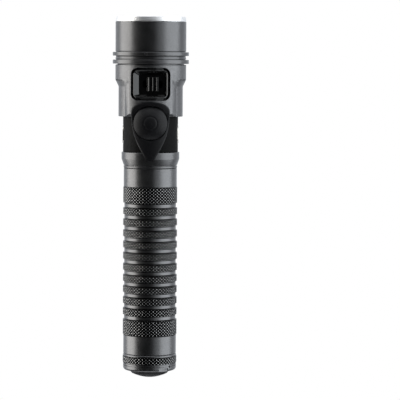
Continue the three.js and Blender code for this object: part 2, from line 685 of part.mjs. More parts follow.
const PIECES = {
  face_bezel: [faceBezel, POLISHED],
  lens: [() => disc(15, LENS_BOTTOM, LENS_BOTTOM + LENS_THICKNESS), GLASS],
  lens_gasket: [() => ring(14.35, 15, 56.4, 56.9), SEAL],
  reflector: [reflector, MIRROR],
  led_centring_ring: [ledCentringRing, WHITE_BOARD],
  led_emitter: [ledEmitter, PHOSPHOR],
  led_board: [ledBoard, WHITE_BOARD],
  led_board_screw_left: [() => ledBoardScrew(-1), NICKEL],
  led_board_screw_right: [() => ledBoardScrew(1), NICKEL],
  led_lead_positive: [() => ledLead(1), RED_WIRE],
  led_lead_negative: [() => ledLead(-1), BLACK_WIRE],
  heat_sink: [heatSink, RAW_ALUMINIUM],
  face_cap: [faceCap, ANODISED],
  face_cap_seal: [() => seal(15.45, 0.8, 41.2), SEAL],
  head_housing: [headHousing, ANODISED],
  selector_bezel: [selectorBezel, GLOSS_BLACK],
  selector_slider: [selectorSlider, GLOSS_BLACK],
  selector_shuttle: [selectorShuttle, POLYMER],
  selector_detent_leaf: [selectorDetentLeaf, NICKEL],
  selector_board: [selectorBoard, CIRCUIT],
  switch_boot: [switchBoot, RUBBER],
  head_button: [headButton, RUBBER],
  tactile_stem: [tactileStem, POLYMER],
  tactile_switch: [tactileSwitch, POLYMER],
  switch_board: [switchBoard, CIRCUIT],
  neck_collar: [neckCollar, POLYMER],
  charge_contact_left: [() => chargeContact(-1), NICKEL],
  charge_contact_right: [() => chargeContact(1), NICKEL],
  lower_collar: [lowerCollar, ANODISED],
  control_board: [controlBoard, CIRCUIT],
  contact_carrier: [contactCarrier, POLYMER],
  front_contact_spring: [frontContactSpring, GOLD],
  barrel: [barrel, ANODISED],
  barrel_seal: [() => seal(10.95, 0.7, -15.5), SEAL],
  battery_cell: [batteryCell, CELL_WRAP],
  battery_positive_cap: [batteryPositiveCap, NICKEL],
  tail_cap: [tailCap, ANODISED],
  tail_cap_seal: [() => seal(11, 0.8, -108), SEAL],
  tail_contact_board: [tailContactBoard, CIRCUIT],
  tail_contact_spring: [tailContactSpring, GOLD],
  tail_switch_body: [tailSwitchBody, POLYMER],
  boot_retaining_ring: [bootRetainingRing, RAW_ALUMINIUM],
  tail_plunger: [tailPlunger, POLYMER],
  tail_boot: [tailBoot, RUBBER],
};

const flashlight = new THREE.Group();
for (const [name, [make, material]] of Object.entries(PIECES)) {
  const mesh = new THREE.Mesh(toGeometry(make()), material);
  mesh.name = name;
  flashlight.add(mesh);
}

export default flashlight;
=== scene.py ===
"""Looks of the tactical flashlight: fine pieces, materials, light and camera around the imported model."""
import json
from math import atan2, cos, exp, pi, radians, sin, sqrt, tan

import bmesh
import bpy
from mathutils import Euler, Matrix, Vector

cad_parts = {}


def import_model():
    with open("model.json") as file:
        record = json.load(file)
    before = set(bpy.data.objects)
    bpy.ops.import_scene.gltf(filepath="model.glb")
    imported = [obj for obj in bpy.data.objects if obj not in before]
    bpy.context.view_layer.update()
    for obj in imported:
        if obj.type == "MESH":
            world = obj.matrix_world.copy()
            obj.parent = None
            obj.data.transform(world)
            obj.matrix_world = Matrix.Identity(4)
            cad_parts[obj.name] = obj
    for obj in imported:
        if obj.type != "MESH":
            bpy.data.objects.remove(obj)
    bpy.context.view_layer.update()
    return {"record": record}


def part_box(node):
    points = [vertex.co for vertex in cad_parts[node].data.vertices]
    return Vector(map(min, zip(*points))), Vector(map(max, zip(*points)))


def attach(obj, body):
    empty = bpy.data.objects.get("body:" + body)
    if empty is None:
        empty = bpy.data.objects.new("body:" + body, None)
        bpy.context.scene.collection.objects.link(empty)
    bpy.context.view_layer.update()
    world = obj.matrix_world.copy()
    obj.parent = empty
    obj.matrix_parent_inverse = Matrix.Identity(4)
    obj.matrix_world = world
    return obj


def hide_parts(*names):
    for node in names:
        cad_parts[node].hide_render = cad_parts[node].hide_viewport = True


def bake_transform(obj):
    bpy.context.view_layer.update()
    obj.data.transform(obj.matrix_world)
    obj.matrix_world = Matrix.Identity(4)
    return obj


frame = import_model()
RECORD = frame["record"]
SLOT_OF = {part["node"]: part["material_slot"] for part in RECORD["subparts"]}
BODY_OF = {node: body for body, nodes in RECORD["behaviour"]["bodies"].items() for node in nodes}

# ---- sizes, in millimetres; places along the axis come from the frame ----

MM = 0.001
SIDES = 192  # columns round a turned piece
FINE = 96  # columns round a small turned piece
SEAM = 0.06  # gap left between pieces that touch


def span(node):
    """Greatest radius along X, lowest and highest level of a CAD node, in millimetres."""
    low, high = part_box(node)
    return high.x / MM, low.z / MM, high.z / MM


def near(node):
    """The CAD node's nearest and farthest Y, in millimetres."""
    low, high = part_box(node)
    return low.y / MM, high.y / MM


def corners(node):
    """The CAD node's lowest and highest corners, in millimetres."""
    return [Vector(corner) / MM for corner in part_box(node)]


def middle(node):
    """The CAD node's middle level, in millimetres."""
    return sum(span(node)[1:]) / 2


HEAD_RADIUS, HOUSING_BOTTOM, HOUSING_TOP = span("head_housing")
FLANGE_RADIUS, CAP_BOTTOM, CAP_TOP = span("face_cap")
RIM_RADIUS, SKIRT_BOTTOM, RIM_TOP = span("face_bezel")
BORE = 15.2  # inside of the head
NECK_BOTTOM, NECK_TOP = span("neck_collar")[1:]
NECK_RADIUS = 13.7
COLLAR_RADIUS, COLLAR_BOTTOM, CORE_TOP = span("lower_collar")
BARREL_TOP = COLLAR_BOTTOM - SEAM
KNURL_RADIUS, BARREL_BOTTOM, SPIGOT_END = span("barrel")
BARREL_RADIUS = KNURL_RADIUS - 0.25
GROOVE_RADIUS = KNURL_RADIUS - 0.62
BORE_RADIUS = 9.8
TAIL_END, TAIL_SPIGOT_TOP = span("tail_cap")[1:]
TAIL_TOP = BARREL_BOTTOM - SEAM
DOME_TIP = span("tail_boot")[1]

BUTTON_RADIUS = span("head_button")[0]
BUTTON_LEVEL = middle("head_button")
BUTTON_FRONT, BUTTON_BACK = near("head_button")
SELECTOR_HALF, SELECTOR_BOTTOM, SELECTOR_TOP = span("selector_bezel")
SELECTOR_LEVEL = middle("selector_bezel")
SELECTOR_WIDTH = 2 * SELECTOR_HALF
SELECTOR_HEIGHT = SELECTOR_TOP - SELECTOR_BOTTOM
BOOT_HALF, BOOT_TIP, BOOT_TOP = span("switch_boot")
WELL_RADIUS = BUTTON_RADIUS + 0.3
WELL_FLOOR = -13.4
SWITCH_POCKET = 5.2  # radius of the pocket behind the well
SLIDER_MIDDLE = (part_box("selector_slider")[0].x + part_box("selector_slider")[1].x) / 2 / MM
LEAD_HOLE = 7.4, 6.8  # place of the lead holes beside and behind the axis
INNER_FLAT = -7.9  # front of the heat sink and the lamp board, which clears the switches
NECK_BORE = 11.9
SEAL_GROOVE = 10.5  # radius of the floor of the two seal grooves at the barrel's ends
CONTACT_FACE = span("charge_contact_right")[0]

DIAMOND = 5  # columns and rows of the lattice in one knurl diamond
KNURL_COLUMNS = 48 * DIAMOND
RING_COUNT = 10
RING_PITCH = 5.58
ROW_PITCH = RING_PITCH / 18
RING_ROWS = 10
FIRST_RING = -38.15
UPPER_KNURL = (-34.5, -26.1)
LOWER_KNURL = (-100.25, -92)
KNURL_DEPTH = 0.2
THREAD_PITCH = 1.3
THREAD_DEPTH = 0.45
LANYARD_ANGLE = 50  # degrees to the right of the switch side
LANYARD_FLAT_ANGLE = 33
CREASE = 30  # edges that turn more than these degrees stay sharp
BLOCK_CREASE = 50


# ---- mesh helpers ----

def rounded(outline, steps=5):
    """A closed outline whose corners with a third value are rounded to about that radius."""
    points = []
    for i, corner in enumerate(outline):
        here = Vector(corner[:2])
        if len(corner) < 3:
            points.append(here)
            continue
        before = Vector(outline[i - 1][:2]) - here
        after = Vector(outline[(i + 1) % len(outline)][:2]) - here
        half_angle = before.angle(after) / 2
        reach = min(corner[2] / tan(half_angle), before.length * 0.48, after.length * 0.48)
        start = here + before.normalized() * reach
        end = here + after.normalized() * reach
        for step in range(steps + 1):
            t = step / steps
            points.append(start * (1 - t) ** 2 + here * 2 * t * (1 - t) + end * t ** 2)
    return [(point.x, point.y) for point in points]


def shaded(mesh, crease=CREASE):
    mesh.shade_smooth()
    mesh.set_sharp_from_angle(angle=radians(crease))


def placed(name, data):
    """An object in the scene that holds a mesh, a lamp or a camera."""
    made = bpy.data.objects.new(name, data)
    bpy.context.scene.collection.objects.link(made)
    return made


def make(vertices, faces, flat):
    """A mesh object with outward faces. Those listed in flat stay facets."""
    mesh = bpy.data.meshes.new("piece")
    mesh.from_pydata([Vector(point) * MM for point in vertices], [], faces)
    tidy = bmesh.new()
    tidy.from_mesh(mesh)
    bmesh.ops.recalc_face_normals(tidy, faces=tidy.faces)
    tidy.to_mesh(mesh)
    tidy.free()
    shaded(mesh)
    for index in flat:
        mesh.polygons[index].use_smooth = False
    return placed("piece", mesh)


def loft(rings, closed=False, poles=None, split=None):
    """A body through rings of points. It closes on itself, or ends in a fan at each end.
    split(row) gives a lattice row whose squares are cut into crisp facets, or None."""
    count = len(rings[0])
    vertices = [point for ring in rings for point in ring]
    faces = []
    flat = []
    for row in range(len(rings) if closed else len(rings) - 1):
        low = row * count
        high = (row + 1) % len(rings) * count
        lattice = split(row) if split else None
        for i in range(count):
            j = (i + 1) % count
            square = (low + i, low + j, high + j, high + i)
            if lattice is None:
                faces.append(square)
                continue
            turn = (i + lattice) % 2
            flat.extend((len(faces), len(faces) + 1))
            faces.append((square[turn], square[turn + 1], square[turn + 2]))
            faces.append((square[turn], square[turn + 2], square[(turn + 3) % 4]))
    if not closed:
        for end, ring in enumerate((rings[0], rings[-1])):
            centre = poles[end] if poles else tuple(sum(axis) / count for axis in zip(*ring))
            first = end * (len(rings) - 1) * count
            vertices.append(centre)
            for i in range(count):
                faces.append((first + i, first + (i + 1) % count, len(vertices) - 1))
    return make(vertices, faces, flat)


def polar(radius, angle):
    return radius * cos(angle), radius * sin(angle)


def circle(radius, z, columns):
    """A ring of points about Z. The radius may be a function of the column."""
    reach = radius if callable(radius) else lambda i: radius
    return [(*polar(reach(i), 2 * pi * i / columns), z) for i in range(columns)]


def turned(outline, columns=SIDES):
    """A body of revolution about Z, from a closed outline of (radius, level, corner radius)."""
    profile = rounded(outline)
    on_axis = [i for i, point in enumerate(profile) if point[0] < 1e-6]
    if not on_axis:
        return loft([circle(r, z, columns) for r, z in profile], closed=True)
    start = next(i for i in on_axis if profile[i - 1][0] < 1e-6)
    profile = profile[start:] + profile[:start]
    poles = [(0, 0, profile[0][1]), (0, 0, profile[-1][1])]
    return loft([circle(r, z, columns) for r, z in profile[1:-1]], poles=poles)


def disc(radius, bottom, top, lower, upper, columns=SIDES):
    """A disc, with the radii of its lower and upper edge rounds."""
    return turned([(0, bottom), (radius, bottom, lower), (radius, top, upper), (0, top)], columns)


def rod(radius, bottom, top, columns):
    """A disc with sharp edges."""
    return turned([(0, bottom), (radius, bottom), (radius, top), (0, top)], columns)


def washer(inner, outer, bottom, top, corner, columns=SIDES):
    outline = [(inner, bottom, corner), (outer, bottom, corner), (outer, top, corner), (inner, top, corner)]
    return turned(outline, columns)


def moved(piece, place):
    """Moves a piece's mesh, in millimetres, and returns the piece."""
    piece.data.transform(Matrix.Translation(Vector(place) * MM))
    return piece


def o_ring(radius, thickness, level):
    """A seal of round section."""
    section = [polar(thickness / 2, 2 * pi * step / 16) for step in range(16)]
    return turned([(radius + x, level + z) for x, z in section])


def flat(y):
    return lambda x, z: y


def cylinder(radius):
    """The near side of a cylinder about Z."""
    return lambda x, z: -sqrt(max(radius * radius - x * x, 0))


def laid(outline, surface):
    """An outline of (x, z) laid on a surface that gives y."""
    return [(x, surface(x, z), z) for x, z in outline]


def arc(centre, radius, start, end, steps):
    """Points on an arc, from one angle in degrees to another."""
    angles = [radians(start + (end - start) * step / steps) for step in range(steps + 1)]
    return [(centre[0] + x, centre[1] + z) for x, z in (polar(radius, angle) for angle in angles)]


def between(a, b, steps):
    """Points inside the straight line from a to b."""
    return [(a[0] + (b[0] - a[0]) * i / steps, a[1] + (b[1] - a[1]) * i / steps) for i in range(1, steps)]


def rectangle(width, height, corner, level, offset=0, margin=0):
    """A rounded rectangle of (x, z), grown by a margin, with the same number of points at any size."""
    corner += margin
    w, h = (width + 2 * margin) / 2 - corner, (height + 2 * margin) / 2 - corner
    steps = 12
    points = []
    for start, x, z in ((0, w, h), (90, -w, h), (180, -w, -h), (270, w, -h)):
        bend = arc((offset + x, level + z), corner, start, start + 90, 8)
        if points:
            points += between(points[-1], bend[0], steps)
        points += bend
    return points + between(points[-1], points[0], steps)


def round_outline(radius, level, steps, offset=0):
    return arc((offset, level), radius, 0, 360, steps)[:-1]


def bar_along_y(radius, nearest, farthest, level, x=0, columns=48):
    """A round bar along Y, with small edge rounds."""
    edge = min(0.15, radius / 4)
    rings = (edge, nearest), (0, nearest + edge), (0, farthest - edge), (edge, farthest)
    return loft([laid(round_outline(radius - inset, level, columns, x), flat(y)) for inset, y in rings])


def block(low, high, edge):
    """A box with rounded edges."""
    shape = bmesh.new()
    bmesh.ops.create_cube(shape, size=1)
    middle = (Vector(low) + Vector(high)) / 2
    size = Vector(high) - Vector(low)
    for vertex in shape.verts:
        vertex.co = (middle + vertex.co * size) * MM
    bmesh.ops.bevel(shape, geom=shape.edges[:], offset=edge * MM, segments=2, affect="EDGES", profile=0.5)
    mesh = bpy.data.meshes.new("piece")
    shape.to_mesh(mesh)
    shape.free()
    shaded(mesh, BLOCK_CREASE)
    return placed("piece", mesh)


def cutter_box(low, high):
    return block(low, high, 0.05)


def combine(piece, others, operation="DIFFERENCE", crease=CREASE):
    """Cuts the others out of a piece, or joins them to it, and removes them."""
    for other in others:
        modifier = piece.modifiers.new(operation.lower(), "BOOLEAN")
        modifier.operation = operation
        modifier.solver = "EXACT"
        modifier.object = other
    graph = bpy.context.evaluated_depsgraph_get()
    mesh = bpy.data.meshes.new_from_object(piece.evaluated_get(graph))
    piece.modifiers.clear()
    piece.data = mesh
    for other in others:
        bpy.data.objects.remove(other)
    shaded(mesh, crease)
    return piece


def tube(points, radius):
    """A round wire along points, with rounded ends."""
    path = [Vector(point) for point in points]
    angles = [2 * pi * k / 16 for k in range(16)]
    rings = []
    side = None
    for i, point in enumerate(path):
        ahead = (path[min(i + 1, len(path) - 1)] - path[max(i - 1, 0)]).normalized()
        if side is None:
            side = ahead.orthogonal().normalized()
        side = (side - ahead * side.dot(ahead)).normalized()
        up = ahead.cross(side)
        steps = [(1, 0)]
        if i == 0:
            steps = [(0.5, -0.45), (0.85, -0.25), (1, 0)]
        if i == len(path) - 1:
            steps = [(1, 0), (0.85, 0.25), (0.5, 0.45)]
        for share, along in steps:
            centre = point + ahead * along * radius
            rings.append([tuple(centre + (side * cos(a) + up * sin(a)) * radius * share) for a in angles])
    return loft(rings)


def helix(radius_bottom, radius_top, bottom, top, turns):
    """Points up a coil whose end turns lie flat, as a ground spring's do."""
    points = []
    count = int(turns * 40)
    for i in range(count + 1):
        t = i / count
        rise = min(max((t * turns - 0.6) / (turns - 1.2), 0), 1)
        radius = radius_bottom + (radius_top - radius_bottom) * rise
        points.append((*polar(radius, 2 * pi * turns * t), bottom + (top - bottom) * rise))
    return points


def dress(piece, name, slot):
    """Gives a piece its name and its material."""
    piece.name = name
    piece.data.name = name
    piece.data.materials.clear()
    piece.data.materials.append(material_for(slot))


def show(piece, node):
    """Gives a piece its CAD node's place in the frame: body, slot and material."""
    dress(piece, node + "_detail", SLOT_OF[node])
    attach(piece, BODY_OF[node])
    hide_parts(node)


# ---- materials ----

class Nodes:
    """Short calls for the nodes of a material or a world."""

    def __init__(self, tree):
        self.tree = tree

    def feed(self, socket, value):
        """Gives a socket its value, or the output that drives it."""
        if isinstance(value, bpy.types.NodeSocket):
            self.tree.links.new(value, socket)
        else:
            socket.default_value = value

    def node(self, kind, inputs, **settings):
        """The outputs of a new node. inputs gives what each socket is fed."""
        made = self.tree.nodes.new("ShaderNode" + kind)
        for setting, value in settings.items():
            setattr(made, setting, value)
        for socket, value in inputs.items():
            self.feed(made.inputs[socket], value)
        return made.outputs

    def calculated(self, operation, a, b):
        return self.node("Math", {0: a, 1: b}, operation=operation)["Value"]

    def parted(self, direction):
        """The X, Y and Z of a vector."""
        return self.node("SeparateXYZ", {"Vector": direction})


class Paint(Nodes):
    """A procedural material on a Principled shader."""

    def __init__(self, name, **sockets):
        self.material = bpy.data.materials.new(name + "_look")
        self.material.use_nodes = True
        super().__init__(self.material.node_tree)
        self.shader = self.tree.nodes["Principled BSDF"].inputs
        self.place = self.node("TexCoord", {})["Object"]
        for socket, value in sockets.items():
            self.feed(self.shader[socket.replace("_", " ")], value)

    def noise(self, size, detail=2.0, stretch=(1, 1, 1)):
        """Noise whose grains are about this many millimetres wide."""
        scale = [axis / (size * MM) for axis in stretch]
        mapped = self.node("Mapping", {"Vector": self.place, "Scale": scale})["Vector"]
        return self.node("TexNoise", {"Vector": mapped, "Scale": 1, "Detail": detail})["Fac"]

    def spread(self, value, low, high, start=0.3, end=0.7):
        """The value mapped from start..end to low..high."""
        limits = {"From Min": start, "From Max": end, "To Min": low, "To Max": high}
        return self.node("MapRange", {"Value": value, **limits})["Result"]

    def mixed(self, fac, first, second):
        """Sets the base colour between two, which may be outputs of other nodes."""
        mix = self.node("Mix", {"Factor": fac, 6: first, 7: second}, data_type="RGBA")
        self.feed(self.shader["Base Color"], mix[2])

    def colour(self, fac, dark, light):
        self.mixed(fac, (*dark, 1), (*light, 1))

    def clouded(self, dark, light, *noise):
        """Two colours in clouds."""
        self.colour(self.spread(self.noise(*noise), 0, 1), dark, light)

    def tint(self, fac, colour):
        """Turns the base colour to another where fac is 1."""
        self.mixed(fac, self.shader["Base Color"].links[0].from_socket, (*colour, 1))

    def distance_from_axis(self):
        flattened = self.node("VectorMath", {0: self.place, 1: (1, 1, 0)}, operation="MULTIPLY")
        return self.node("VectorMath", {0: flattened["Vector"]}, operation="LENGTH")["Value"]

    def within(self, value, low, high):
        """1 where a length is between low and high, in millimetres, and 0 elsewhere."""
        soft = 0.02
        rising = self.spread(value, 0, 1, low * MM, (low + soft) * MM)
        falling = self.spread(value, 1, 0, (high - soft) * MM, high * MM)
        return self.calculated("MULTIPLY", rising, falling)

    def roughness(self, fac, low, high):
        self.feed(self.shader["Roughness"], self.spread(fac, low, high))

    def bump(self, height, depth):
        """Adds fine relief, its depth in millimetres."""
        target = self.shader["Normal"]
        inputs = {"Height": height, "Distance": depth * MM}
        if target.is_linked:
            inputs["Normal"] = target.links[0].from_socket
        self.feed(target, self.node("Bump", inputs)["Normal"])


def grey(value, blue=1.0):
    return value, value, value * blue


def anodised(name, dark, light, low, high, lines, grain):
    """Dark anodised aluminium with turning lines and a fine grain."""
    paint = Paint(name, Metallic=1.0)
    cloud = paint.noise(4, 3)
    speck = paint.noise(0.5, 2)
    paint.colour(paint.spread(speck, 0, 1, 0.35, 0.65), grey(dark, 1.02), grey(light, 1.02))
    paint.roughness(cloud, low, high)
    paint.bump(paint.noise(0.3, 2, (0.02, 0.02, 1)), lines)
    paint.bump(paint.noise(0.16, 2), grain)
    return paint


def anodised_knurled():
    """The knurl's tips carry a painted highlight in light grey. Its grooves, the ring walls and the
    undercuts carry painted shade in near black.
    """
    paint = anodised("anodised_knurled", 0.1, 0.12, 0.3, 0.36, 0.005, 0.005)
    radius = paint.distance_from_axis()
    grip = paint.within(paint.parted(paint.place)["Z"], LOWER_KNURL[1] - 1, UPPER_KNURL[0] + 1)
    # black is the near-black colour of the painted shade below
    black = grey(0.006)
    # painted shade: the knurl's pits and sloping walls are tinted near black
    paint.tint(paint.within(radius, KNURL_RADIUS - KNURL_DEPTH - 0.03, KNURL_RADIUS - 0.03), black)
    # painted highlight: the knurl's flat tips are tinted light grey
    paint.tint(paint.within(radius, KNURL_RADIUS - 0.05, KNURL_RADIUS + 0.1), grey(0.5))
    # painted shade: the groove floors and ring walls within the grip are tinted near black
    for low, high in ((BORE_RADIUS, GROOVE_RADIUS - 0.04), (GROOVE_RADIUS + 0.05, KNURL_RADIUS - 0.23)):
        paint.tint(paint.calculated("MULTIPLY", grip, paint.within(radius, low, high)), black)
    return paint


def lens_glass():
    paint = Paint("lens_glass", Metallic=0.0, Transmission_Weight=1.0, IOR=1.5, Roughness=0.0)
    paint.clouded((0.95, 0.97, 0.97), (0.97, 0.99, 0.99), 12, 1)
    return paint


def circuit():
    """Green solder mask with plated tracks."""
    paint = Paint("circuit", Roughness=0.35)
    cells = {"Vector": paint.place, "Scale": 1 / (2.2 * MM)}
    tracks = paint.node("TexVoronoi", cells, feature="DISTANCE_TO_EDGE")
    line = paint.spread(tracks["Distance"], 1, 0, 0.03, 0.09)
    paint.colour(line, (0.006, 0.05, 0.022), (0.02, 0.12, 0.05))
    paint.bump(line, 0.02)
    return paint


def metal(name, cloud, dark, light, gloss, low, high, relief, depth):
    """Bare or plated metal. cloud, gloss and relief say what noise drives each."""
    paint = Paint(name, Metallic=1.0)
    paint.clouded(dark, light, cloud)
    paint.roughness(paint.noise(*gloss), low, high)
    paint.bump(paint.noise(*relief), depth)
    return paint


def plastic(name, dark, light, low, high, size, depth, **sockets):
    """A moulded surface: two close colours, a varied gloss and a fine texture."""
    paint = Paint(name, **sockets)
    paint.clouded(dark, light, size * 4, 3)
    paint.roughness(paint.noise(size * 9, 3), low, high)
    paint.bump(paint.noise(size, 2), depth)
    return paint


# darkest and lightest grey, lowest and highest roughness, depth of the turning lines and of the grain
ANODISED = {
    "anodised_satin": (0.09, 0.105, 0.3, 0.36, 0.006, 0.004),
    "anodised_blasted": (0.09, 0.14, 0.36, 0.4, 0.0, 0.02),
}
METALS = {
    "polished_metal": (3, grey(0.72), grey(0.78), (2, 3), 0.36, 0.42, (0.25, 1, (0.01, 0.01, 1)), 0.09),
    "mirror_coating": (6, grey(0.84), grey(0.88), (1.2, 2), 0.04, 0.08, (0.7, 2), 0.004),
    "raw_aluminium": (2, grey(0.55), grey(0.64), (3, 3), 0.28, 0.38, (0.25, 2, (0.02, 0.02, 1)), 0.006),
    "nickel": (1.5, (0.6, 0.57, 0.52), (0.68, 0.65, 0.6), (1, 3), 0.18, 0.28, (0.2, 2), 0.003),
    "gold": (1.5, (0.72, 0.47, 0.16), (0.8, 0.55, 0.2), (1, 3), 0.18, 0.28, (0.2, 2), 0.003),
}
# two colours, lowest and highest roughness, width of the grain and depth of its relief
PLASTICS = {
    "gloss_black": (grey(0.001), grey(0.003), 0.12, 0.2, 0.8, 0.002),
    # black_polymer is black plastic made darker than the plastic itself, as painted shade
    "black_polymer": (grey(0.001), grey(0.003), 0.5, 0.6, 0.15, 0.012),
    "boot_rubber": (grey(0.003, 1.2), grey(0.006, 1.2), 0.4, 0.48, 0.12, 0.006),
    "seal_rubber": (grey(0.006), grey(0.01), 0.45, 0.6, 0.2, 0.006),
    "white_plastic": (grey(0.74, 0.98), grey(0.82, 0.98), 0.4, 0.5, 0.3, 0.004),
    "white_board": (grey(0.76, 0.98), grey(0.82, 0.98), 0.3, 0.4, 0.3, 0.003),
    "phosphor": ((0.78, 0.5, 0.03), (0.86, 0.6, 0.05), 0.12, 0.2, 0.2, 0.003),
    "cell_wrap": ((0.03, 0.1, 0.26), (0.04, 0.13, 0.32), 0.25, 0.35, 1.2, 0.01),
    "red_wire": ((0.33, 0.012, 0.012), (0.42, 0.02, 0.02), 0.35, 0.45, 0.3, 0.004),
    "black_wire": (grey(0.008), grey(0.014), 0.35, 0.45, 0.3, 0.004),
}
SOCKETS = {
    # this low specular level goes with black_polymer's painted shade and dulls its reflections
    "black_polymer": {"Specular_IOR_Level": 0.05},
    "boot_rubber": {"Specular_IOR_Level": 0.18},
    "phosphor": {"Coat_Weight": 1.0},
}
OWN_PAINTS = {"anodised_knurled": anodised_knurled, "lens_glass": lens_glass, "circuit": circuit}
LOOKS = {}


def painted(slot):
    for kind, table in ((anodised, ANODISED), (metal, METALS), (plastic, PLASTICS)):
        if slot in table:
            return kind(slot, *table[slot], **SOCKETS.get(slot, {}))
    return OWN_PAINTS[slot]()


def material_for(slot):
    """The procedural material of a slot, made once."""
    if slot not in LOOKS:
        LOOKS[slot] = painted(slot).material
    return LOOKS[slot]


# ---- lamp ----

def face_bezel():
    skirt_out, skirt_in, mouth = 16.3, 15.3, 14.2
    rim_bottom = CAP_TOP + SEAM
    seat = RIM_TOP - 1.2
    return turned([
        (skirt_in, SKIRT_BOTTOM, 0.2), (skirt_out, SKIRT_BOTTOM, 0.2), (skirt_out, rim_bottom),
        (RIM_RADIUS, rim_bottom, 0.2), (RIM_RADIUS - 0.3, RIM_TOP, 0.4), (15.1, RIM_TOP, 0.2),
        (mouth, RIM_TOP - 0.9, 0.2), (mouth, seat), (skirt_in, seat),
    ])


def lens():
    return disc(*span("lens"), 0.2, 0.2)


def lens_gasket():
    radius, bottom, top = span("lens_gasket")
    return washer(radius - 0.65, radius, bottom, top, 0.2)


def reflector():
    """A parabolic bowl with a thin wall and a lip under the lens."""
    throat, mouth, steps = 3.8, 14.2, 28
    bottom, top = span("reflector")[1:]
    bowl = []
    for i in range(steps + 1):
        share = i / steps
        level = bottom + (top - 0.3 - bottom) * share
        bowl.append((sqrt(throat ** 2 + (mouth ** 2 - throat ** 2) * share), level))
    back = [(r + 0.8, z - 0.9) for r, z in bowl if z - 0.9 > bottom + 0.2 and r + 0.8 > 6.4]
    lip = [(15, top - 1.2), (15, top), (mouth, top)]
    return turned([(6.4, bottom)] + back + lip + bowl[::-1])


def led_centring_ring():
    return washer(3.9, *span("led_centring_ring"), 0.15, FINE)


def led_emitter():
    half, bottom, top = span("led_emitter")
    package = block((-half, -half, bottom), (half, half, top - 0.9), 0.1)
    dome = turned([(0, top - 1), (1.45, top - 1), (1.4, top - 0.5, 0.5), (0.9, top, 0.6), (0, top)], 64)
    return combine(package, [dome], "UNION", 40)


def lamp_cutters():
    """The flat in front of the lamp board and the heat sink, and the holes for the leads."""
    x, y = LEAD_HOLE
    holes = [moved(rod(0.9, 10, 40, 32), (side * x, y, 0)) for side in (-1, 1)]
    return [cutter_box((-20, -20, 10), (20, INNER_FLAT, 40)), *holes]


def led_board():
    return combine(disc(*span("led_board"), 0.1, 0.1, FINE), lamp_cutters())


def led_board_screw(side):
    bottom, top = span("led_board_screw_left" if side < 0 else "led_board_screw_right")[1:]
    head = turned([(0, bottom), (1.3, bottom), (1.3, top, 0.45), (0, top)], 48)
    slots = [cutter_box((-x, -y, top - 0.4), (x, y, top + 1)) for x, y in ((0.95, 0.2), (0.2, 0.95))]
    screw = combine(head, slots)
    screw.data.transform(Matrix.Translation((side * 8.1 * MM, 0, 0)))
    return screw


def heat_sink():
    radius, bottom, top = span("heat_sink")
    block_radius, step = 12.5, 26.5
    sink = turned([
        (0, bottom), (block_radius, bottom, 0.5), (block_radius, step, 0.4), (radius, step, 0.3),
        (radius, top, 0.2), (0, top),
    ])
    groove_floor, groove_width = 11.2, 0.9
    grooves = [washer(groove_floor, 14, level, level + groove_width, 0.1) for level in range(16, 26, 2)]
    return combine(sink, lamp_cutters() + grooves)


def led_lead(side):
    """A lead from the control board up through the heat sink to the lamp board."""
    route = [
        (5.5, 4.6, -0.3), (5.5, 4.6, 5), (7, 6.4, 11), (*LEAD_HOLE, 17), (*LEAD_HOLE, 24),
        (*LEAD_HOLE, 30), (7.2, 6.3, 32.4), (6.1, 5.1, 32.9),
    ]
    return tube(smooth([(side * x, y, z) for x, y, z in route], 8), 0.5)


def smooth(points, steps):
    """A Catmull-Rom curve through points."""
    path = [Vector(point) for point in points]
    path = [path[0] * 2 - path[1]] + path + [path[-1] * 2 - path[-2]]
    curve = []
    for a, b, c, d in zip(path, path[1:], path[2:], path[3:]):
        for i in range(steps):
            t = i / steps
            curve.append(0.5 * (2 * b + (c - a) * t + (2 * a - 5 * b + 4 * c - d) * t ** 2
                                + (3 * b - a - 3 * c + d) * t ** 3))
    return curve + [path[-2]]


def face_cap():
    """The upper head: a smooth barrel over two cooling flanges."""
    flanges = []
    relief = HEAD_RADIUS - 0.3
    bore, thread, throat, step = 16.2, 16.6, 15.4, 42.6
    for bottom, top in ((CAP_BOTTOM, CAP_BOTTOM + 2), (CAP_BOTTOM + 3.95, CAP_BOTTOM + 5.8)):
        flanges += [(relief, bottom), (FLANGE_RADIUS, bottom, 0.25)]
        flanges += [(FLANGE_RADIUS, top, 0.25), (relief, top, 0.1), (relief, top + 0.25, 0.1)]
        flanges.append((HEAD_RADIUS, top + 0.45, 0.1))
    cap = turned([
        (bore, CAP_BOTTOM), *flanges, (HEAD_RADIUS, CAP_TOP, 0.25), (thread, CAP_TOP, 0.1),
        (thread, SKIRT_BOTTOM - 0.3), (throat, SKIRT_BOTTOM - 0.3), (throat, step), (bore, step),
    ])
    dimple = bar_along_y(0.75, -30, -18.45, CAP_BOTTOM + 4.9, -2.3)
    return combine(cap, [dimple])


# ---- lower head ----

def teardrop(margin=0.0):
    """The outline of the rubber boot as (x, z), grown outwards by a margin."""
    shoulder = BOOT_TOP - 4.8
    half = BOOT_HALF + 0.2 + margin
    top = BOOT_TOP + margin
    right, crown, left = (half, shoulder), (0, top), (-half, shoulder)
    nose = arc((0, BOOT_TIP + 3), 3 + margin, 210, 330, 12)
    outline = [right] + bezier(right, (half, top - 1.7), (half * 0.64, top), crown, 20)
    outline += [crown] + bezier(crown, (-half * 0.64, top), (-half, top - 1.7), left, 20)
    outline += [left] + bezier(left, (-half, 1), (2.2 - half, -3.5), nose[0], 20)
    return outline + nose + bezier(nose[-1], (half - 2.2, -3.5), (half, 1), right, 20)


def bezier(a, b, c, d, steps):
    """Points inside a cubic curve from a to d."""
    points = []
    for i in range(1, steps):
        t = i / steps
        weights = ((1 - t) ** 3, 3 * t * (1 - t) ** 2, 3 * t * t * (1 - t), t ** 3)
        points.append(tuple(sum(w * p[axis] for w, p in zip(weights, (a, b, c, d))) for axis in (0, 1)))
    return points


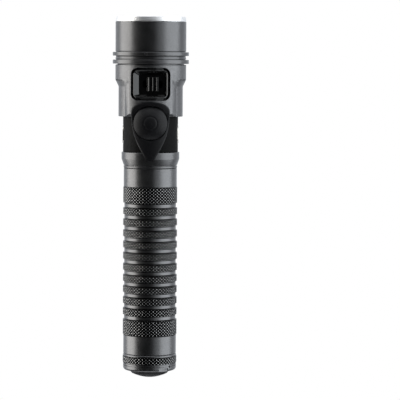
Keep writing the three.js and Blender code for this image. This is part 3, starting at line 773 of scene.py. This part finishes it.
def boot_surface(inset=0.0):
    """The boot's outer face, its radius about the axis given at rising levels."""
    face = [(15.7, -13.5), (16.1, -9), (17, 0), (17.6, 6), (18, 13), (18, 17)]

    def surface(x, z):
        below = ([point for point in face if point[1] <= z] or face[:1])[-1]
        above = ([point for point in face if point[1] > z] or face[-1:])[0]
        width = above[1] - below[1]
        share = 0 if width == 0 else min(max((z - below[1]) / width, 0), 1)
        radius = below[0] + (above[0] - below[0]) * share - inset
        return cylinder(radius)(x, z)

    return surface


def opening(outline, radius, deep, lip):
    """A cutter through a cylinder's wall whose mouth has a small chamfer."""
    cuts = [(0, flat(deep)), (0, cylinder(radius - lip)), (lip, cylinder(radius))]
    cuts += [(lip + 1, cylinder(radius + 1)), (lip + 1, flat(-26))]
    return loft([laid(outline(margin), surface) for margin, surface in cuts])


def switch_well():
    """The round seat of the push-button, and the deeper pocket of its switch."""
    well = bar_along_y(WELL_RADIUS, -25, WELL_FLOOR, BUTTON_LEVEL, columns=128)
    return [well, bar_along_y(SWITCH_POCKET, -20, -8, BUTTON_LEVEL, columns=FINE)]


def side_pocket(side):
    """The shallow relief beside the lower head, which a charger's arm reaches into."""
    edge, top, corner, low = 12.65, 27.2, 2.5, HOUSING_BOTTOM - 1
    outline = [(side * 20, low), (side * edge, low)]
    outline += [(side * (edge + corner - corner * cos(a)), top - corner + corner * sin(a))
                for a in (radians(step * 10) for step in range(10))]
    outline += [(side * 20, top)]
    leaning = [(x - side * 3 * (x * side < 16), z + 3 * (z > top - corner)) for x, z in outline]
    pocket = loft([laid(leaning, flat(-16)), laid(outline, flat(-10)), laid(outline, flat(20))])
    arch = outline[2:-1] + [(side * 16.2, top), (side * 17.1, top - 0.2)]
    crest = [(x, -sqrt((HEAD_RADIUS - 0.1) ** 2 - x * x), z) for x, z in arch]
    sleeve = turned([(16, low), (19, low), (19, top + 3.2), (HEAD_RADIUS, top), (16, 23.9, 1.5)])
    return combine(combine(sleeve, [pocket], "INTERSECT"), [tube(crest, 0.4)], "UNION")


def head_housing():
    floor, spigot, groove_bottom, groove_top = 12, 15.9, 40.7, 41.7
    shoulder = CAP_BOTTOM - SEAM
    body = turned([
        (NECK_BORE, HOUSING_BOTTOM, 0.2), (HEAD_RADIUS - 1.7, HOUSING_BOTTOM, 0.3),
        (HEAD_RADIUS, HOUSING_BOTTOM + 1.4, 0.8), (HEAD_RADIUS, shoulder - 0.6, 0.1),
        (HEAD_RADIUS - 0.2, shoulder - 0.4, 0.05), (HEAD_RADIUS - 1, shoulder - 0.35),
        (HEAD_RADIUS - 1, shoulder), (spigot, shoulder),
        (spigot, groove_bottom), (spigot - 1, groove_bottom), (spigot - 1, groove_top), (spigot, groove_top),
        (spigot, HOUSING_TOP, 0.2), (14.2, HOUSING_TOP), (14.2, 38), (BORE, 36.5), (BORE, floor),
        (NECK_BORE, floor),
    ])
    size = SELECTOR_WIDTH + 1.3, SELECTOR_HEIGHT + 1.1, 3.3, SELECTOR_LEVEL
    window = opening(lambda margin: rectangle(*size, margin=margin), HEAD_RADIUS, -8, 0.12)
    seat = opening(lambda margin: teardrop(0.1 + margin), HEAD_RADIUS, -8, 0.06)
    seat = combine(seat, [rod(16.5, 0, 30, SIDES)])
    return combine(body, [window, seat, *switch_well(), side_pocket(-1), side_pocket(1)])


def face_cap_seal():
    return o_ring(15.45, 0.8, 41.2)


# ---- selector switch ----

def selector_bezel():
    """A glossy frame that follows the head, with a finger recess and a slot for the slider.
    A hidden flange behind the head's wall closes the gap round it."""
    back = near("selector_bezel")[1]
    face, floor, inside = HEAD_RADIUS - 0.1, -13.4, BORE - 0.15

    def frame_ring(margin, surface):
        size = SELECTOR_WIDTH - 0.8, SELECTOR_HEIGHT - 0.6, 2.8, SELECTOR_LEVEL
        return laid(rectangle(*size, margin=margin), surface)

    def mouth_ring(margin, surface):
        return laid(rectangle(15.9, 12.4, 1.3, SELECTOR_LEVEL + 0.2, margin=margin), surface)

    def floor_ring(margin, y, lift=0.0):
        """The foot of the recess's walls, which may be lifted towards the left."""
        middle, half = 0.78, 6.55
        outline = rectangle(2 * half, 9.8, 0.9, SELECTOR_LEVEL - 0.3, middle, margin)
        half += margin
        return laid(outline, lambda x, z: y - lift * (middle + half - x) / (2 * half))

    def slot_ring(margin, y):
        return laid(rectangle(9.6, 3.4, 1, SELECTOR_LEVEL, SLIDER_MIDDLE, margin), flat(y))

    rings = [frame_ring(margin, surface) for margin, surface in (
        (-0.3, flat(back)), (1.7, cylinder(inside - 0.7)), (1.7, cylinder(inside)), (0, cylinder(inside)),
        (0, cylinder(face - 0.25)), (-0.08, cylinder(face - 0.08)), (-0.2, cylinder(face)))]
    rings += [mouth_ring(margin, cylinder(face - sunk))
              for margin, sunk in ((0.35, 0), (0.3, 0.03), (0.05, 0.35), (0, 0.4))]
    rings += [floor_ring(0.05, floor - 0.45, 0.35), floor_ring(0, floor - 0.4, 0.35)]
    rings += [floor_ring(-0.05, floor)]
    rings += [slot_ring(0.15, floor), slot_ring(0, floor + 0.15), slot_ring(0, back)]
    return loft(rings, closed=True)


def selector_slider():
    """A flat slider with three upright ridges, on a stem through the slot."""
    ridge_pitch = 1.95
    left, right = (corner.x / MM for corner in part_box("selector_slider"))
    front, stem_end = near("selector_slider")
    face, z = front + 1, SELECTOR_LEVEL
    plate = block((left, face, z - 3.6), (right, face + 1.3, z + 3.6), 0.2)
    stem = (SLIDER_MIDDLE - 1, face + 1, z - 1.3), (SLIDER_MIDDLE + 1, stem_end, z + 1.3)
    parts = [block(*stem, 0.1)]
    for step in (-1, 0, 1):
        x = SLIDER_MIDDLE + step * ridge_pitch
        flank = (-0.5, 0.3), (-0.45, -0.1), (0.1, -0.65), (0.3, -0.6), (0.4, 0.3)
        section = rounded([(x + dx, face + dy, 0.06) for dx, dy in flank], 3)
        parts.append(loft([[(px, y, z + end) for px, y in section] for end in (-3.3, 3.3)]))
    return combine(plate, parts, "UNION", BLOCK_CREASE)


def selector_wiper_cover():
    """A black cover over the selector's circuit board, with a rail on each side of the shuttle."""
    nearest = near("selector_board")[0] - 0.3
    left, right, z = -6.4, 7.6, SELECTOR_LEVEL
    plate = block((left, nearest, z - 3.4), (right, nearest + 0.25, z + 3.4), 0.06)
    rails = [block((left + 0.2, nearest - 0.6, low), (right - 0.2, nearest + 0.1, low + 0.5), 0.08)
             for low in (z - 3.3, z + 2.8)]
    return combine(plate, rails, "UNION", BLOCK_CREASE)


def selector_shuttle():
    low, high = corners("selector_shuttle")
    slot = cutter_box((low.x + 0.6, high.y - 0.3, low.z + 0.6), (high.x - 0.6, 0, low.z + 1.4))
    return combine(block(low, high, 0.2), [slot])


def selector_detent_leaf():
    low, high = corners("selector_detent_leaf")
    notches = [bar_along_y(0.5, -12, -10, high.z, x + SLIDER_MIDDLE) for x in (-3, 0, 3)]
    return combine(block(low, high, 0.08), notches)


def selector_board():
    low, high = corners("selector_board")
    holes = [bar_along_y(0.7, -12, 0, z, x) for x in (-7.2, 7.2) for z in (low.z + 1.3, high.z - 1.3)]
    return combine(block(low, high, 0.08), holes)


# ---- push-button ----

def switch_boot():
    """A moulded rubber skin from the button's hole out to its teardrop edge."""
    outer, inner = boot_surface(), boot_surface(1.1)
    edge = teardrop()
    hole = [polar(WELL_RADIUS, atan2(z - BUTTON_LEVEL, x)) for x, z in edge]
    hole = [(x, BUTTON_LEVEL + z) for x, z in hole]

    def ring(share, surface, drop=0.0, valley=0.0):
        """A ring between hole and edge. Its upper half may sink into a valley round the button."""
        points = []
        for (ex, ez), (hx, hz) in zip(edge, hole):
            x, z = hx + (ex - hx) * share, hz + (ez - hz) * share
            sink = 0.75 * valley * min(max((z - BUTTON_LEVEL) / 4, 0), 1)
            points.append((x, surface(x, z) + drop * (1 - sink) + sink, z))
        return points

    shares = [i / 14 for i in range(15)]
    rolled = {1.0: 0.3, 13 / 14: 0.06, 0.0: 0.25, 1 / 14: 0.05}
    rings = [ring(share, outer, rolled.get(share, 0.0), 1 - share) for share in shares[::-1]]
    rings += [ring(share, inner) for share in (0.0, 0.25, 0.5, 0.75, 1.0)]
    return loft(rings, closed=True)


def head_button():
    """A rubber dome with a shallow ring and a centre dot."""
    rim, edge = -16.2, BUTTON_RADIUS
    rise = rim - BUTTON_FRONT
    sphere = (edge ** 2 + rise ** 2) / (2 * rise)
    profile = [(edge - 0.15, BUTTON_BACK), (edge, BUTTON_BACK - 0.15), (edge, rim)]
    for i in range(1, 37):
        radius = (edge - 0.05) * (1 - i / 38)
        height = sqrt(sphere ** 2 - radius ** 2) - (sphere - rise)
        dent = 0.14 * exp(-((radius - 3.3) / 0.35) ** 2)
        profile.append((radius, rim - height + dent))
    dot = [(0.75, BUTTON_FRONT + 0.02), (0.68, BUTTON_FRONT - 0.1), (0.3, BUTTON_FRONT - 0.13)]
    profile = [point for point in profile if point[0] > 0.8] + dot
    rings = [laid(round_outline(radius, BUTTON_LEVEL, 128), flat(y)) for radius, y in profile]
    poles = [(0, BUTTON_BACK, BUTTON_LEVEL), (0, dot[-1][1], BUTTON_LEVEL)]
    return loft(rings, poles=poles)


def tactile_stem():
    return bar_along_y(1.6, *near("tactile_stem"), BUTTON_LEVEL)


def tactile_switch():
    body = block(*corners("tactile_switch"), 0.2)
    return combine(body, [bar_along_y(1.9, -15, -11, BUTTON_LEVEL)])


def switch_board():
    board = bar_along_y(4.9, *near("switch_board"), BUTTON_LEVEL, columns=FINE)
    return combine(board, [bar_along_y(0.5, -12, 0, BUTTON_LEVEL - 4, x) for x in (-1.5, 1.5)])


# ---- neck ----

def pill(side, rings):
    """A body along X through upright pill outlines, given as (margin, x)."""
    ends = (1.6, 0), (-1.6, 180)
    return loft([[(side * x, y, z) for level, start in ends
                  for y, z in arc((0, level), 3 + margin, start, start + 180, 20)] for margin, x in rings])


def bar_along_x(side, radius, inner, outer):
    bar = bar_along_y(radius, -outer, -inner, 0)
    bar.data.transform(Matrix.Rotation(side * pi / 2, 4, "Z"))
    return bar


def neck_collar():
    """The collar that a charger grips, with a boss behind the boot and a seat for each contact."""
    collar = washer(NECK_BORE, NECK_RADIUS, NECK_BOTTOM - 0.25, NECK_TOP + 0.25, 0.25)
    boss = loft([laid(teardrop(-0.9), flat(-10)), laid(teardrop(-0.9), boot_surface(1.4))])
    sleeve = washer(12.6, 20, NECK_BOTTOM + 0.1, NECK_TOP - 0.1, 0.1)
    combine(boss, [sleeve], "INTERSECT")
    combine(collar, [boss], "UNION")
    cutters = switch_well()
    for side in (-1, 1):
        seat = (0.3, CONTACT_FACE - 1.5), (0.3, CONTACT_FACE - 0.4), (1.1, CONTACT_FACE + 0.4)
        cutters += [pill(side, seat), bar_along_x(side, 1.3, 9, CONTACT_FACE)]
    return combine(collar, cutters)


def charge_contact(side):
    face = CONTACT_FACE
    pad = pill(side, ((0, face - 1.2), (0, face - 0.3), (-0.12, face - 0.08), (-0.35, face)))
    return combine(pad, [bar_along_x(side, 0.9, 9, face - 0.9)], "UNION")


def lower_collar():
    """The turned ring under the neck, with the tube that ties the head to the barrel."""
    core, core_bore, bore, top = 11.6, 10.3, 11.5, -8.75
    cone_top, groove, foot = -12.1, COLLAR_BOTTOM + 1, COLLAR_RADIUS - 1.05
    collar = turned([
        (bore, COLLAR_BOTTOM, 0.1), (foot, COLLAR_BOTTOM, 0.25), (foot, groove, 0.25),
        (foot - 0.5, groove + 0.05, 0.05), (foot - 0.5, groove + 0.3, 0.05), (foot, groove + 0.4, 0.1),
        (COLLAR_RADIUS, cone_top, 0.4), (COLLAR_RADIUS, top, 0.35), (core, top),
        (core, CORE_TOP, 0.2), (core_bore, CORE_TOP, 0.1), (core_bore, -9.2), (bore, -9.2),
    ])
    pocket = bar_along_y(SWITCH_POCKET, -20, -5, BUTTON_LEVEL, columns=FINE)
    return combine(collar, [pocket, bar_along_x(1, 1.6, 8, 14), bar_along_x(-1, 1.6, 8, 14)])


def control_board():
    """A round board with a coil, a chip and a connector."""
    level = span("control_board")[1]
    top = level + 1.1
    chip = block((-6, -4.5, top), (-1.5, 0.5, top + 1.3), 0.12)
    coil = block((1, -5, top), (4.6, -1.2, top + 2.3), 0.3)
    connector = block((-3.4, 2.6, top), (3, 6.4, top + 1), 0.12)
    return combine(disc(8.6, level, level + 1.2, 0.1, 0.1, FINE), [chip, coil, connector], "UNION")


def contact_carrier():
    radius, bottom, top = span("contact_carrier")
    waist = 5.4
    return turned([
        (0, bottom), (radius, bottom, 0.3), (radius, bottom + 3.3, 0.3), (waist, bottom + 4.3, 0.4),
        (waist, top - 3.8, 0.4), (radius, top - 2.8, 0.3), (radius, top, 0.3), (0, top),
    ])


def front_contact_spring():
    bottom, top = span("front_contact_spring")[1:]
    return tube(helix(3.6, 3, bottom + 0.45, top - 0.45, 5), 0.45)


# ---- barrel and battery ----

def diamond(i, j):
    """Height of the knurl at a column and a row of its lattice, from 0 to 1."""
    slants = (i + j) % DIAMOND, (i - j) % DIAMOND
    return min(1, *(min(slant, DIAMOND - slant) / 2 for slant in slants))


def knurl_row(z, j):
    return (lambda i: KNURL_RADIUS - KNURL_DEPTH + KNURL_DEPTH * diamond(i, j)), z, j


def knurl_band(bottom, top):
    """Rows of a knurled band, from its top edge down."""
    count = int((top - bottom) / ROW_PITCH)
    start = (top + bottom + count * ROW_PITCH) / 2
    return [knurl_row(start - j * ROW_PITCH, j) for j in range(count + 1)]


def trench(level, toward):
    """The undercut beside a groove: from the knurl's edge, by way of its floor, to the groove."""
    steps = (0.3, 0.1), (-0.3, 0.15), (-0.3, 0.5), (0, 0.55)
    return [(GROOVE_RADIUS + out, level + toward * along) for out, along in steps]


def grip_ring(index):
    """Rows of one knurled ring between two grooves, from its top edge down."""
    centre = FIRST_RING - index * RING_PITCH
    edge = RING_ROWS / 2 * ROW_PITCH
    rows = trench(centre + edge, 1)[::-1]
    rows += [knurl_row(centre + edge - j * ROW_PITCH, j) for j in range(RING_ROWS + 1)]
    return rows + trench(centre - edge, -1)


def knurled(rows):
    """A body of revolution through rows of (radius, level). Knurled rows add their lattice row."""
    def lattice(row):
        here, following = rows[row], rows[(row + 1) % len(rows)]
        return here[2] if len(here) == len(following) == 3 else None

    return loft([circle(*row[:2], KNURL_COLUMNS) for row in rows], closed=True, split=lattice)


def barrel():
    """The grip: a plain collar, a knurled band, ten knurled rings, a knurled band and a plain tail."""
    spigot, thread, thread_end, edge = 11.2, 11.7, -99.4, 0.25
    groove_top, groove_bottom = -15, -16
    tail = BARREL_RADIUS - 0.05
    rows = [
        (spigot, BARREL_TOP), (BARREL_RADIUS - edge, BARREL_TOP), (BARREL_RADIUS, BARREL_TOP - edge),
        (BARREL_RADIUS, UPPER_KNURL[1] + 0.25), (BARREL_RADIUS - 0.2, UPPER_KNURL[1] + 0.1),
    ]
    rows += knurl_band(UPPER_KNURL[0] + 0.5, UPPER_KNURL[1] - 0.1)
    rows += trench(UPPER_KNURL[0] + 0.5, -1)
    for index in range(RING_COUNT):
        rows += grip_ring(index)
    rows += trench(LOWER_KNURL[1] - 0.5, 1)[::-1]
    rows += knurl_band(LOWER_KNURL[0] + 0.15, LOWER_KNURL[1] - 0.5)
    rows += [
        (tail - 0.15, LOWER_KNURL[0]), (tail, LOWER_KNURL[0] - 0.15), (tail, BARREL_BOTTOM + edge),
        (tail - edge, BARREL_BOTTOM), (thread, BARREL_BOTTOM), (thread, thread_end),
        (BORE_RADIUS, thread_end), (BORE_RADIUS, SPIGOT_END), (spigot - 0.3, SPIGOT_END),
        (spigot, SPIGOT_END - 0.3), (spigot, groove_top), (SEAL_GROOVE, groove_top),
        (SEAL_GROOVE, groove_bottom), (spigot, groove_bottom),
    ]
    return knurled(rows)


def barrel_seal():
    return o_ring(10.95, 0.7, -15.5)


def battery_cell():
    radius, bottom, top = span("battery_cell")
    return turned([
        (0, bottom), (radius, bottom, 0.6), (radius, top - 2.7, 0.3), (radius - 0.35, top - 2.3, 0.2),
        (radius - 0.35, top - 1.6, 0.2), (radius, top - 1.2, 0.3), (radius, top, 0.5), (0, top),
    ])


def battery_positive_cap():
    bottom, top = span("battery_positive_cap")[1:]
    return turned([(0, bottom), (4.2, bottom, 0.1), (3.3, top, 0.4), (0, top)], FINE)


# ---- tail cap ----

def threaded(top, bottom, radius):
    """Rows of a right-hand screw thread, from the top down."""
    def row(z):
        def reach(i):
            turn = (z / THREAD_PITCH - i / KNURL_COLUMNS) % 1
            ridge = 1 - abs(2 * turn - 1)
            ends = min(1, (top - z) / THREAD_PITCH, (z - bottom) / THREAD_PITCH)
            return radius - THREAD_DEPTH * (1 - min(max(1.6 * ridge - 0.3, 0), 1) * max(ends, 0))
        return reach, z

    count = int((top - bottom) / 0.13)
    return [row(top - (top - bottom) * k / count) for k in range(count + 1)]


def lanyard_cutters():
    """A slanted hole from the end face to the side, and the flat ground next to it."""
    hole = rod(0.5, -4, 4, 48)
    hole.data.transform(Euler((0, radians(40), 0)).to_matrix().to_4x4())
    moved(hole, (12.2, 0, TAIL_END + 1.2))
    ground = block((12.6, -2.6, TAIL_END - 1), (15, 2.6, TAIL_END + 1.8), 0.1)
    for cutter, angle in ((hole, LANYARD_ANGLE), (ground, LANYARD_FLAT_ANGLE)):
        cutter.data.transform(Matrix.Rotation(radians(angle - 90), 4, "Z"))
    return [hole, ground]


def tail_cap():
    """The screw cap: a thread, a knurled band, two fine grooves and a round edge."""
    radius, spigot, hole, corner = BARREL_RADIUS, 11.4, 9.9, 1.3
    boot_bore, boot_bore_top, floor = 10.7, -112.4, TAIL_END + 2.45
    thread_end, groove_top, groove_bottom = -106.4, -107.4, -108.6
    band_bottom, band_top = TAIL_END + 3.95, TAIL_END + 7.1
    rows = [(spigot - 0.4, TAIL_SPIGOT_TOP), (spigot - THREAD_DEPTH, TAIL_SPIGOT_TOP - 0.4)]
    rows += threaded(TAIL_SPIGOT_TOP - 0.5, thread_end, spigot)
    rows += [
        (spigot, thread_end - 0.2), (spigot, groove_top), (SEAL_GROOVE, groove_top),
        (SEAL_GROOVE, groove_bottom), (spigot, groove_bottom),
        (spigot, TAIL_TOP), (radius - 0.3, TAIL_TOP), (radius, TAIL_TOP - 0.3),
        (radius, band_top + 0.25), (radius - 0.2, band_top + 0.1),
    ]
    rows += knurl_band(band_bottom, band_top)
    rows += [(radius - 0.2, band_bottom - 0.1), (radius, band_bottom - 0.2)]
    for level in (TAIL_END + 3.55, TAIL_END + 2.6):
        rows += [(radius, level + 0.2), (radius - 0.35, level + 0.12)]
        rows += [(radius - 0.35, level - 0.12), (radius, level - 0.2)]
    rows += [(radius - corner + x, TAIL_END + corner - y) for x, y in arc((0, 0), corner, 0, 90, 8)]
    rows += [
        (hole + 0.2, TAIL_END), (hole, TAIL_END + 0.2), (hole, floor), (boot_bore, floor),
        (boot_bore, boot_bore_top), (BORE_RADIUS, boot_bore_top), (BORE_RADIUS, TAIL_SPIGOT_TOP),
    ]
    return combine(knurled(rows), lanyard_cutters())


def tail_cap_seal():
    return o_ring(11, 0.8, -108)


def tail_contact_board():
    return disc(*span("tail_contact_board"), 0.12, 0.12, FINE)


def tail_contact_spring():
    bottom, top = span("tail_contact_spring")[1:]
    return tube(helix(4.4, 3, bottom + 0.5, top - 0.5, 4), 0.5)


def tail_switch_body():
    radius, bottom, top = span("tail_switch_body")
    recess, recess_top = 2.7, bottom + 3
    return turned([
        (0, recess_top), (recess, recess_top), (recess, bottom, 0.2), (radius, bottom, 0.4),
        (radius, top, 0.3), (0, top),
    ])


def boot_retaining_ring():
    radius, bottom, top = span("boot_retaining_ring")
    slot = cutter_box((-11, -0.8, bottom - 1), (11, 0.8, bottom + 0.5))
    return combine(washer(7.6, radius, bottom, top, 0.12), [slot])


def tail_plunger():
    return disc(*span("tail_plunger"), 0.4, 0.3, FINE)


def tail_boot():
    """The tail switch's flat rubber dome, hollow, with a clamped flange and a nib inside."""
    dome, wall, bulge, corner = 9.75, 1.4, 18.5, 0.7
    bottom, top, flange = TAIL_END + 2.75, TAIL_END + 3.65, 10.4
    nib, nib_top = 2.2, -117.1

    def cap_level(radius):
        return DOME_TIP + radius ** 2 / (2 * bulge)

    outside = [(dome * i / 24, cap_level(dome * i / 24)) for i in range(23)]
    edge = cap_level(dome)
    outside += [(dome - corner * (1 - sin(a)) ** 1.2, edge + corner * (1 - cos(a)) + 0.1)
                for a in (radians(step) for step in range(30, 91, 12))]
    inner = dome - wall
    hollow = [(inner * i / 24, cap_level(inner * i / 24) + wall) for i in range(7, 23)]
    rim = [(dome, bottom, 0.2), (flange, bottom, 0.1), (flange, top, 0.15), (inner, top, 0.15)]
    corner_inside = (inner, cap_level(inner) + wall + 0.9, 0.5)
    inside = [(nib, hollow[0][1]), (nib, nib_top, 0.2), (0, nib_top)]
    return turned([*outside, *rim, corner_inside, *hollow[::-1], *inside])


# ---- assembly ----

MAKERS = (
    face_bezel, lens, lens_gasket, reflector, led_centring_ring, led_emitter, led_board, heat_sink,
    face_cap, face_cap_seal, head_housing, selector_bezel, selector_slider, selector_shuttle,
    selector_detent_leaf, selector_board, switch_boot, head_button, tactile_stem, tactile_switch,
    switch_board, neck_collar, lower_collar, control_board, contact_carrier, front_contact_spring,
    barrel, barrel_seal, battery_cell, battery_positive_cap, tail_cap, tail_cap_seal,
    tail_contact_board, tail_contact_spring, tail_switch_body, boot_retaining_ring, tail_plunger)

for maker in MAKERS:
    show(maker(), maker.__name__)
for side, word, pole in ((-1, "left", "negative"), (1, "right", "positive")):
    show(led_board_screw(side), "led_board_screw_" + word)
    show(charge_contact(side), "charge_contact_" + word)
    show(led_lead(side), "led_lead_" + pole)


def soft_tail_boot():
    """The rubber dome, clamped between the cap and the plunger, flexes in use; here it is baked in place and
    attached to no body.
    """
    piece = tail_boot()
    dress(piece, "tail_boot_detail", SLOT_OF["tail_boot"])
    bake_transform(piece)
    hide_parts("tail_boot")


def wiper_cover():
    piece = selector_wiper_cover()
    dress(piece, "selector_wiper_cover", "black_polymer")
    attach(piece, "body")


soft_tail_boot()
wiper_cover()


# ---- studio ----

def floor():
    """A plain pale floor, well below the flashlight."""
    half, level, corner = 600, -1300, 60
    outline = rectangle(2 * half, 2 * half, corner, 0)
    piece = loft([[(x, y, z) for x, y in outline] for z in (level - 10, level)])
    piece.name = piece.data.name = "floor"
    paint = Paint("floor", Roughness=0.9)
    paint.clouded(grey(0.84), grey(0.86), 60, 2)
    piece.data.materials.append(paint.material)


def world():
    """White behind the object. The world it reflects is dark in front, brighter behind and above."""
    scene = bpy.context.scene
    scene.world = bpy.data.worlds.new("studio")
    scene.world.use_nodes = True
    nodes = Nodes(scene.world.node_tree)
    nodes.tree.nodes.clear()
    direction = nodes.parted(nodes.node("TexCoord", {})["Generated"])

    def graded(axis, stops):
        """A brightness for each value of one axis of the direction, from -1 to 1."""
        shares = nodes.node("MapRange", {"Value": direction[axis], "From Min": -1})["Result"]
        colour = nodes.node("ValToRGB", {"Fac": shares})["Color"]
        elements = colour.node.color_ramp.elements
        for place, _ in stops[2:]:
            elements.new((place + 1) / 2)
        for element, (place, value) in zip(elements, sorted(stops)):
            element.position = (place + 1) / 2
            element.color = (value, value, value, 1)
        return colour

    around = graded("Y", [(-1, 0.03), (1, 1.0), (-0.5, 0.04), (0, 0.3), (0.5, 0.9)])
    below = graded("Z", [(-1, 0.1), (1, 1.0), (-0.7, 0.2), (-0.3, 1.0)])
    above = graded("Z", [(-1, 0.0), (1, 0.9), (0.3, 0.0), (0.7, 0.5)])
    total = nodes.calculated("ADD", nodes.calculated("MULTIPLY", around, below), above)
    reflected = nodes.node("Background", {"Strength": total, "Color": (0.9, 0.94, 1, 1)})[0]
    white = nodes.node("Background", {"Color": (1, 1, 1, 1)})[0]
    seen = nodes.node("LightPath", {})["Is Camera Ray"]
    mix = nodes.node("MixShader", {"Fac": seen, 1: reflected, 2: white})[0]
    nodes.node("OutputWorld", {"Surface": mix})


def soft_box(name, azimuth, distance, height, width, tall, radiance, tint=(1, 1, 1)):
    """A soft box aimed at the object, its azimuth in degrees from the switch side to the right."""
    light = bpy.data.lights.new(name, "AREA")
    light.color = tint
    light.shape = "RECTANGLE"
    light.size, light.size_y = width, tall
    light.energy = radiance * pi * width * tall
    lamp = placed(name, light)
    angle = radians(azimuth)
    lamp.location = (distance * sin(angle), -distance * cos(angle), height)
    aim = Vector((0, 0, -0.03)) - lamp.location
    lamp.rotation_euler = aim.to_track_quat("-Z", "Y").to_euler()


def camera():
    """A long lens in front of the switches, a little above them."""
    target = Vector((0.0249, 0, -0.03275))
    distance, elevation, azimuth, roll = 1.067, *(radians(angle) for angle in (3.8, -1, 0.35))
    data = bpy.data.cameras.new("camera")
    data.sensor_width = 36
    data.lens = 192
    data.clip_start = 0.01
    data.clip_end = 20
    view = placed("camera", data)
    level = cos(elevation)
    back = Vector((sin(azimuth) * level, -cos(azimuth) * level, sin(elevation)))
    view.location = target + back * distance
    facing = (target - view.location).to_track_quat("-Z", "Y").to_matrix()
    view.rotation_euler = (facing @ Matrix.Rotation(roll, 3, "Z")).to_euler()
    bpy.context.scene.camera = view


floor()
world()
# azimuth, distance, height, width and height of the box, radiance, tint
soft_box("left_soft_box", -90, 1.1, 0.1, 1.05, 1.8, 3.8, (1, 0.98, 0.94))
soft_box("right_soft_box", 75, 1.1, 0.1, 1.2, 1.8, 2.9, (0.93, 0.97, 1))
soft_box("right_front_fill", 33, 1.1, 0.1, 0.5, 1.8, 0.75, (0.93, 0.97, 1))
soft_box("top_soft_box", 0, 0.5, 1.2, 0.8, 0.8, 1.2)
camera()
bpy.context.scene.view_settings.view_transform = "Standard"
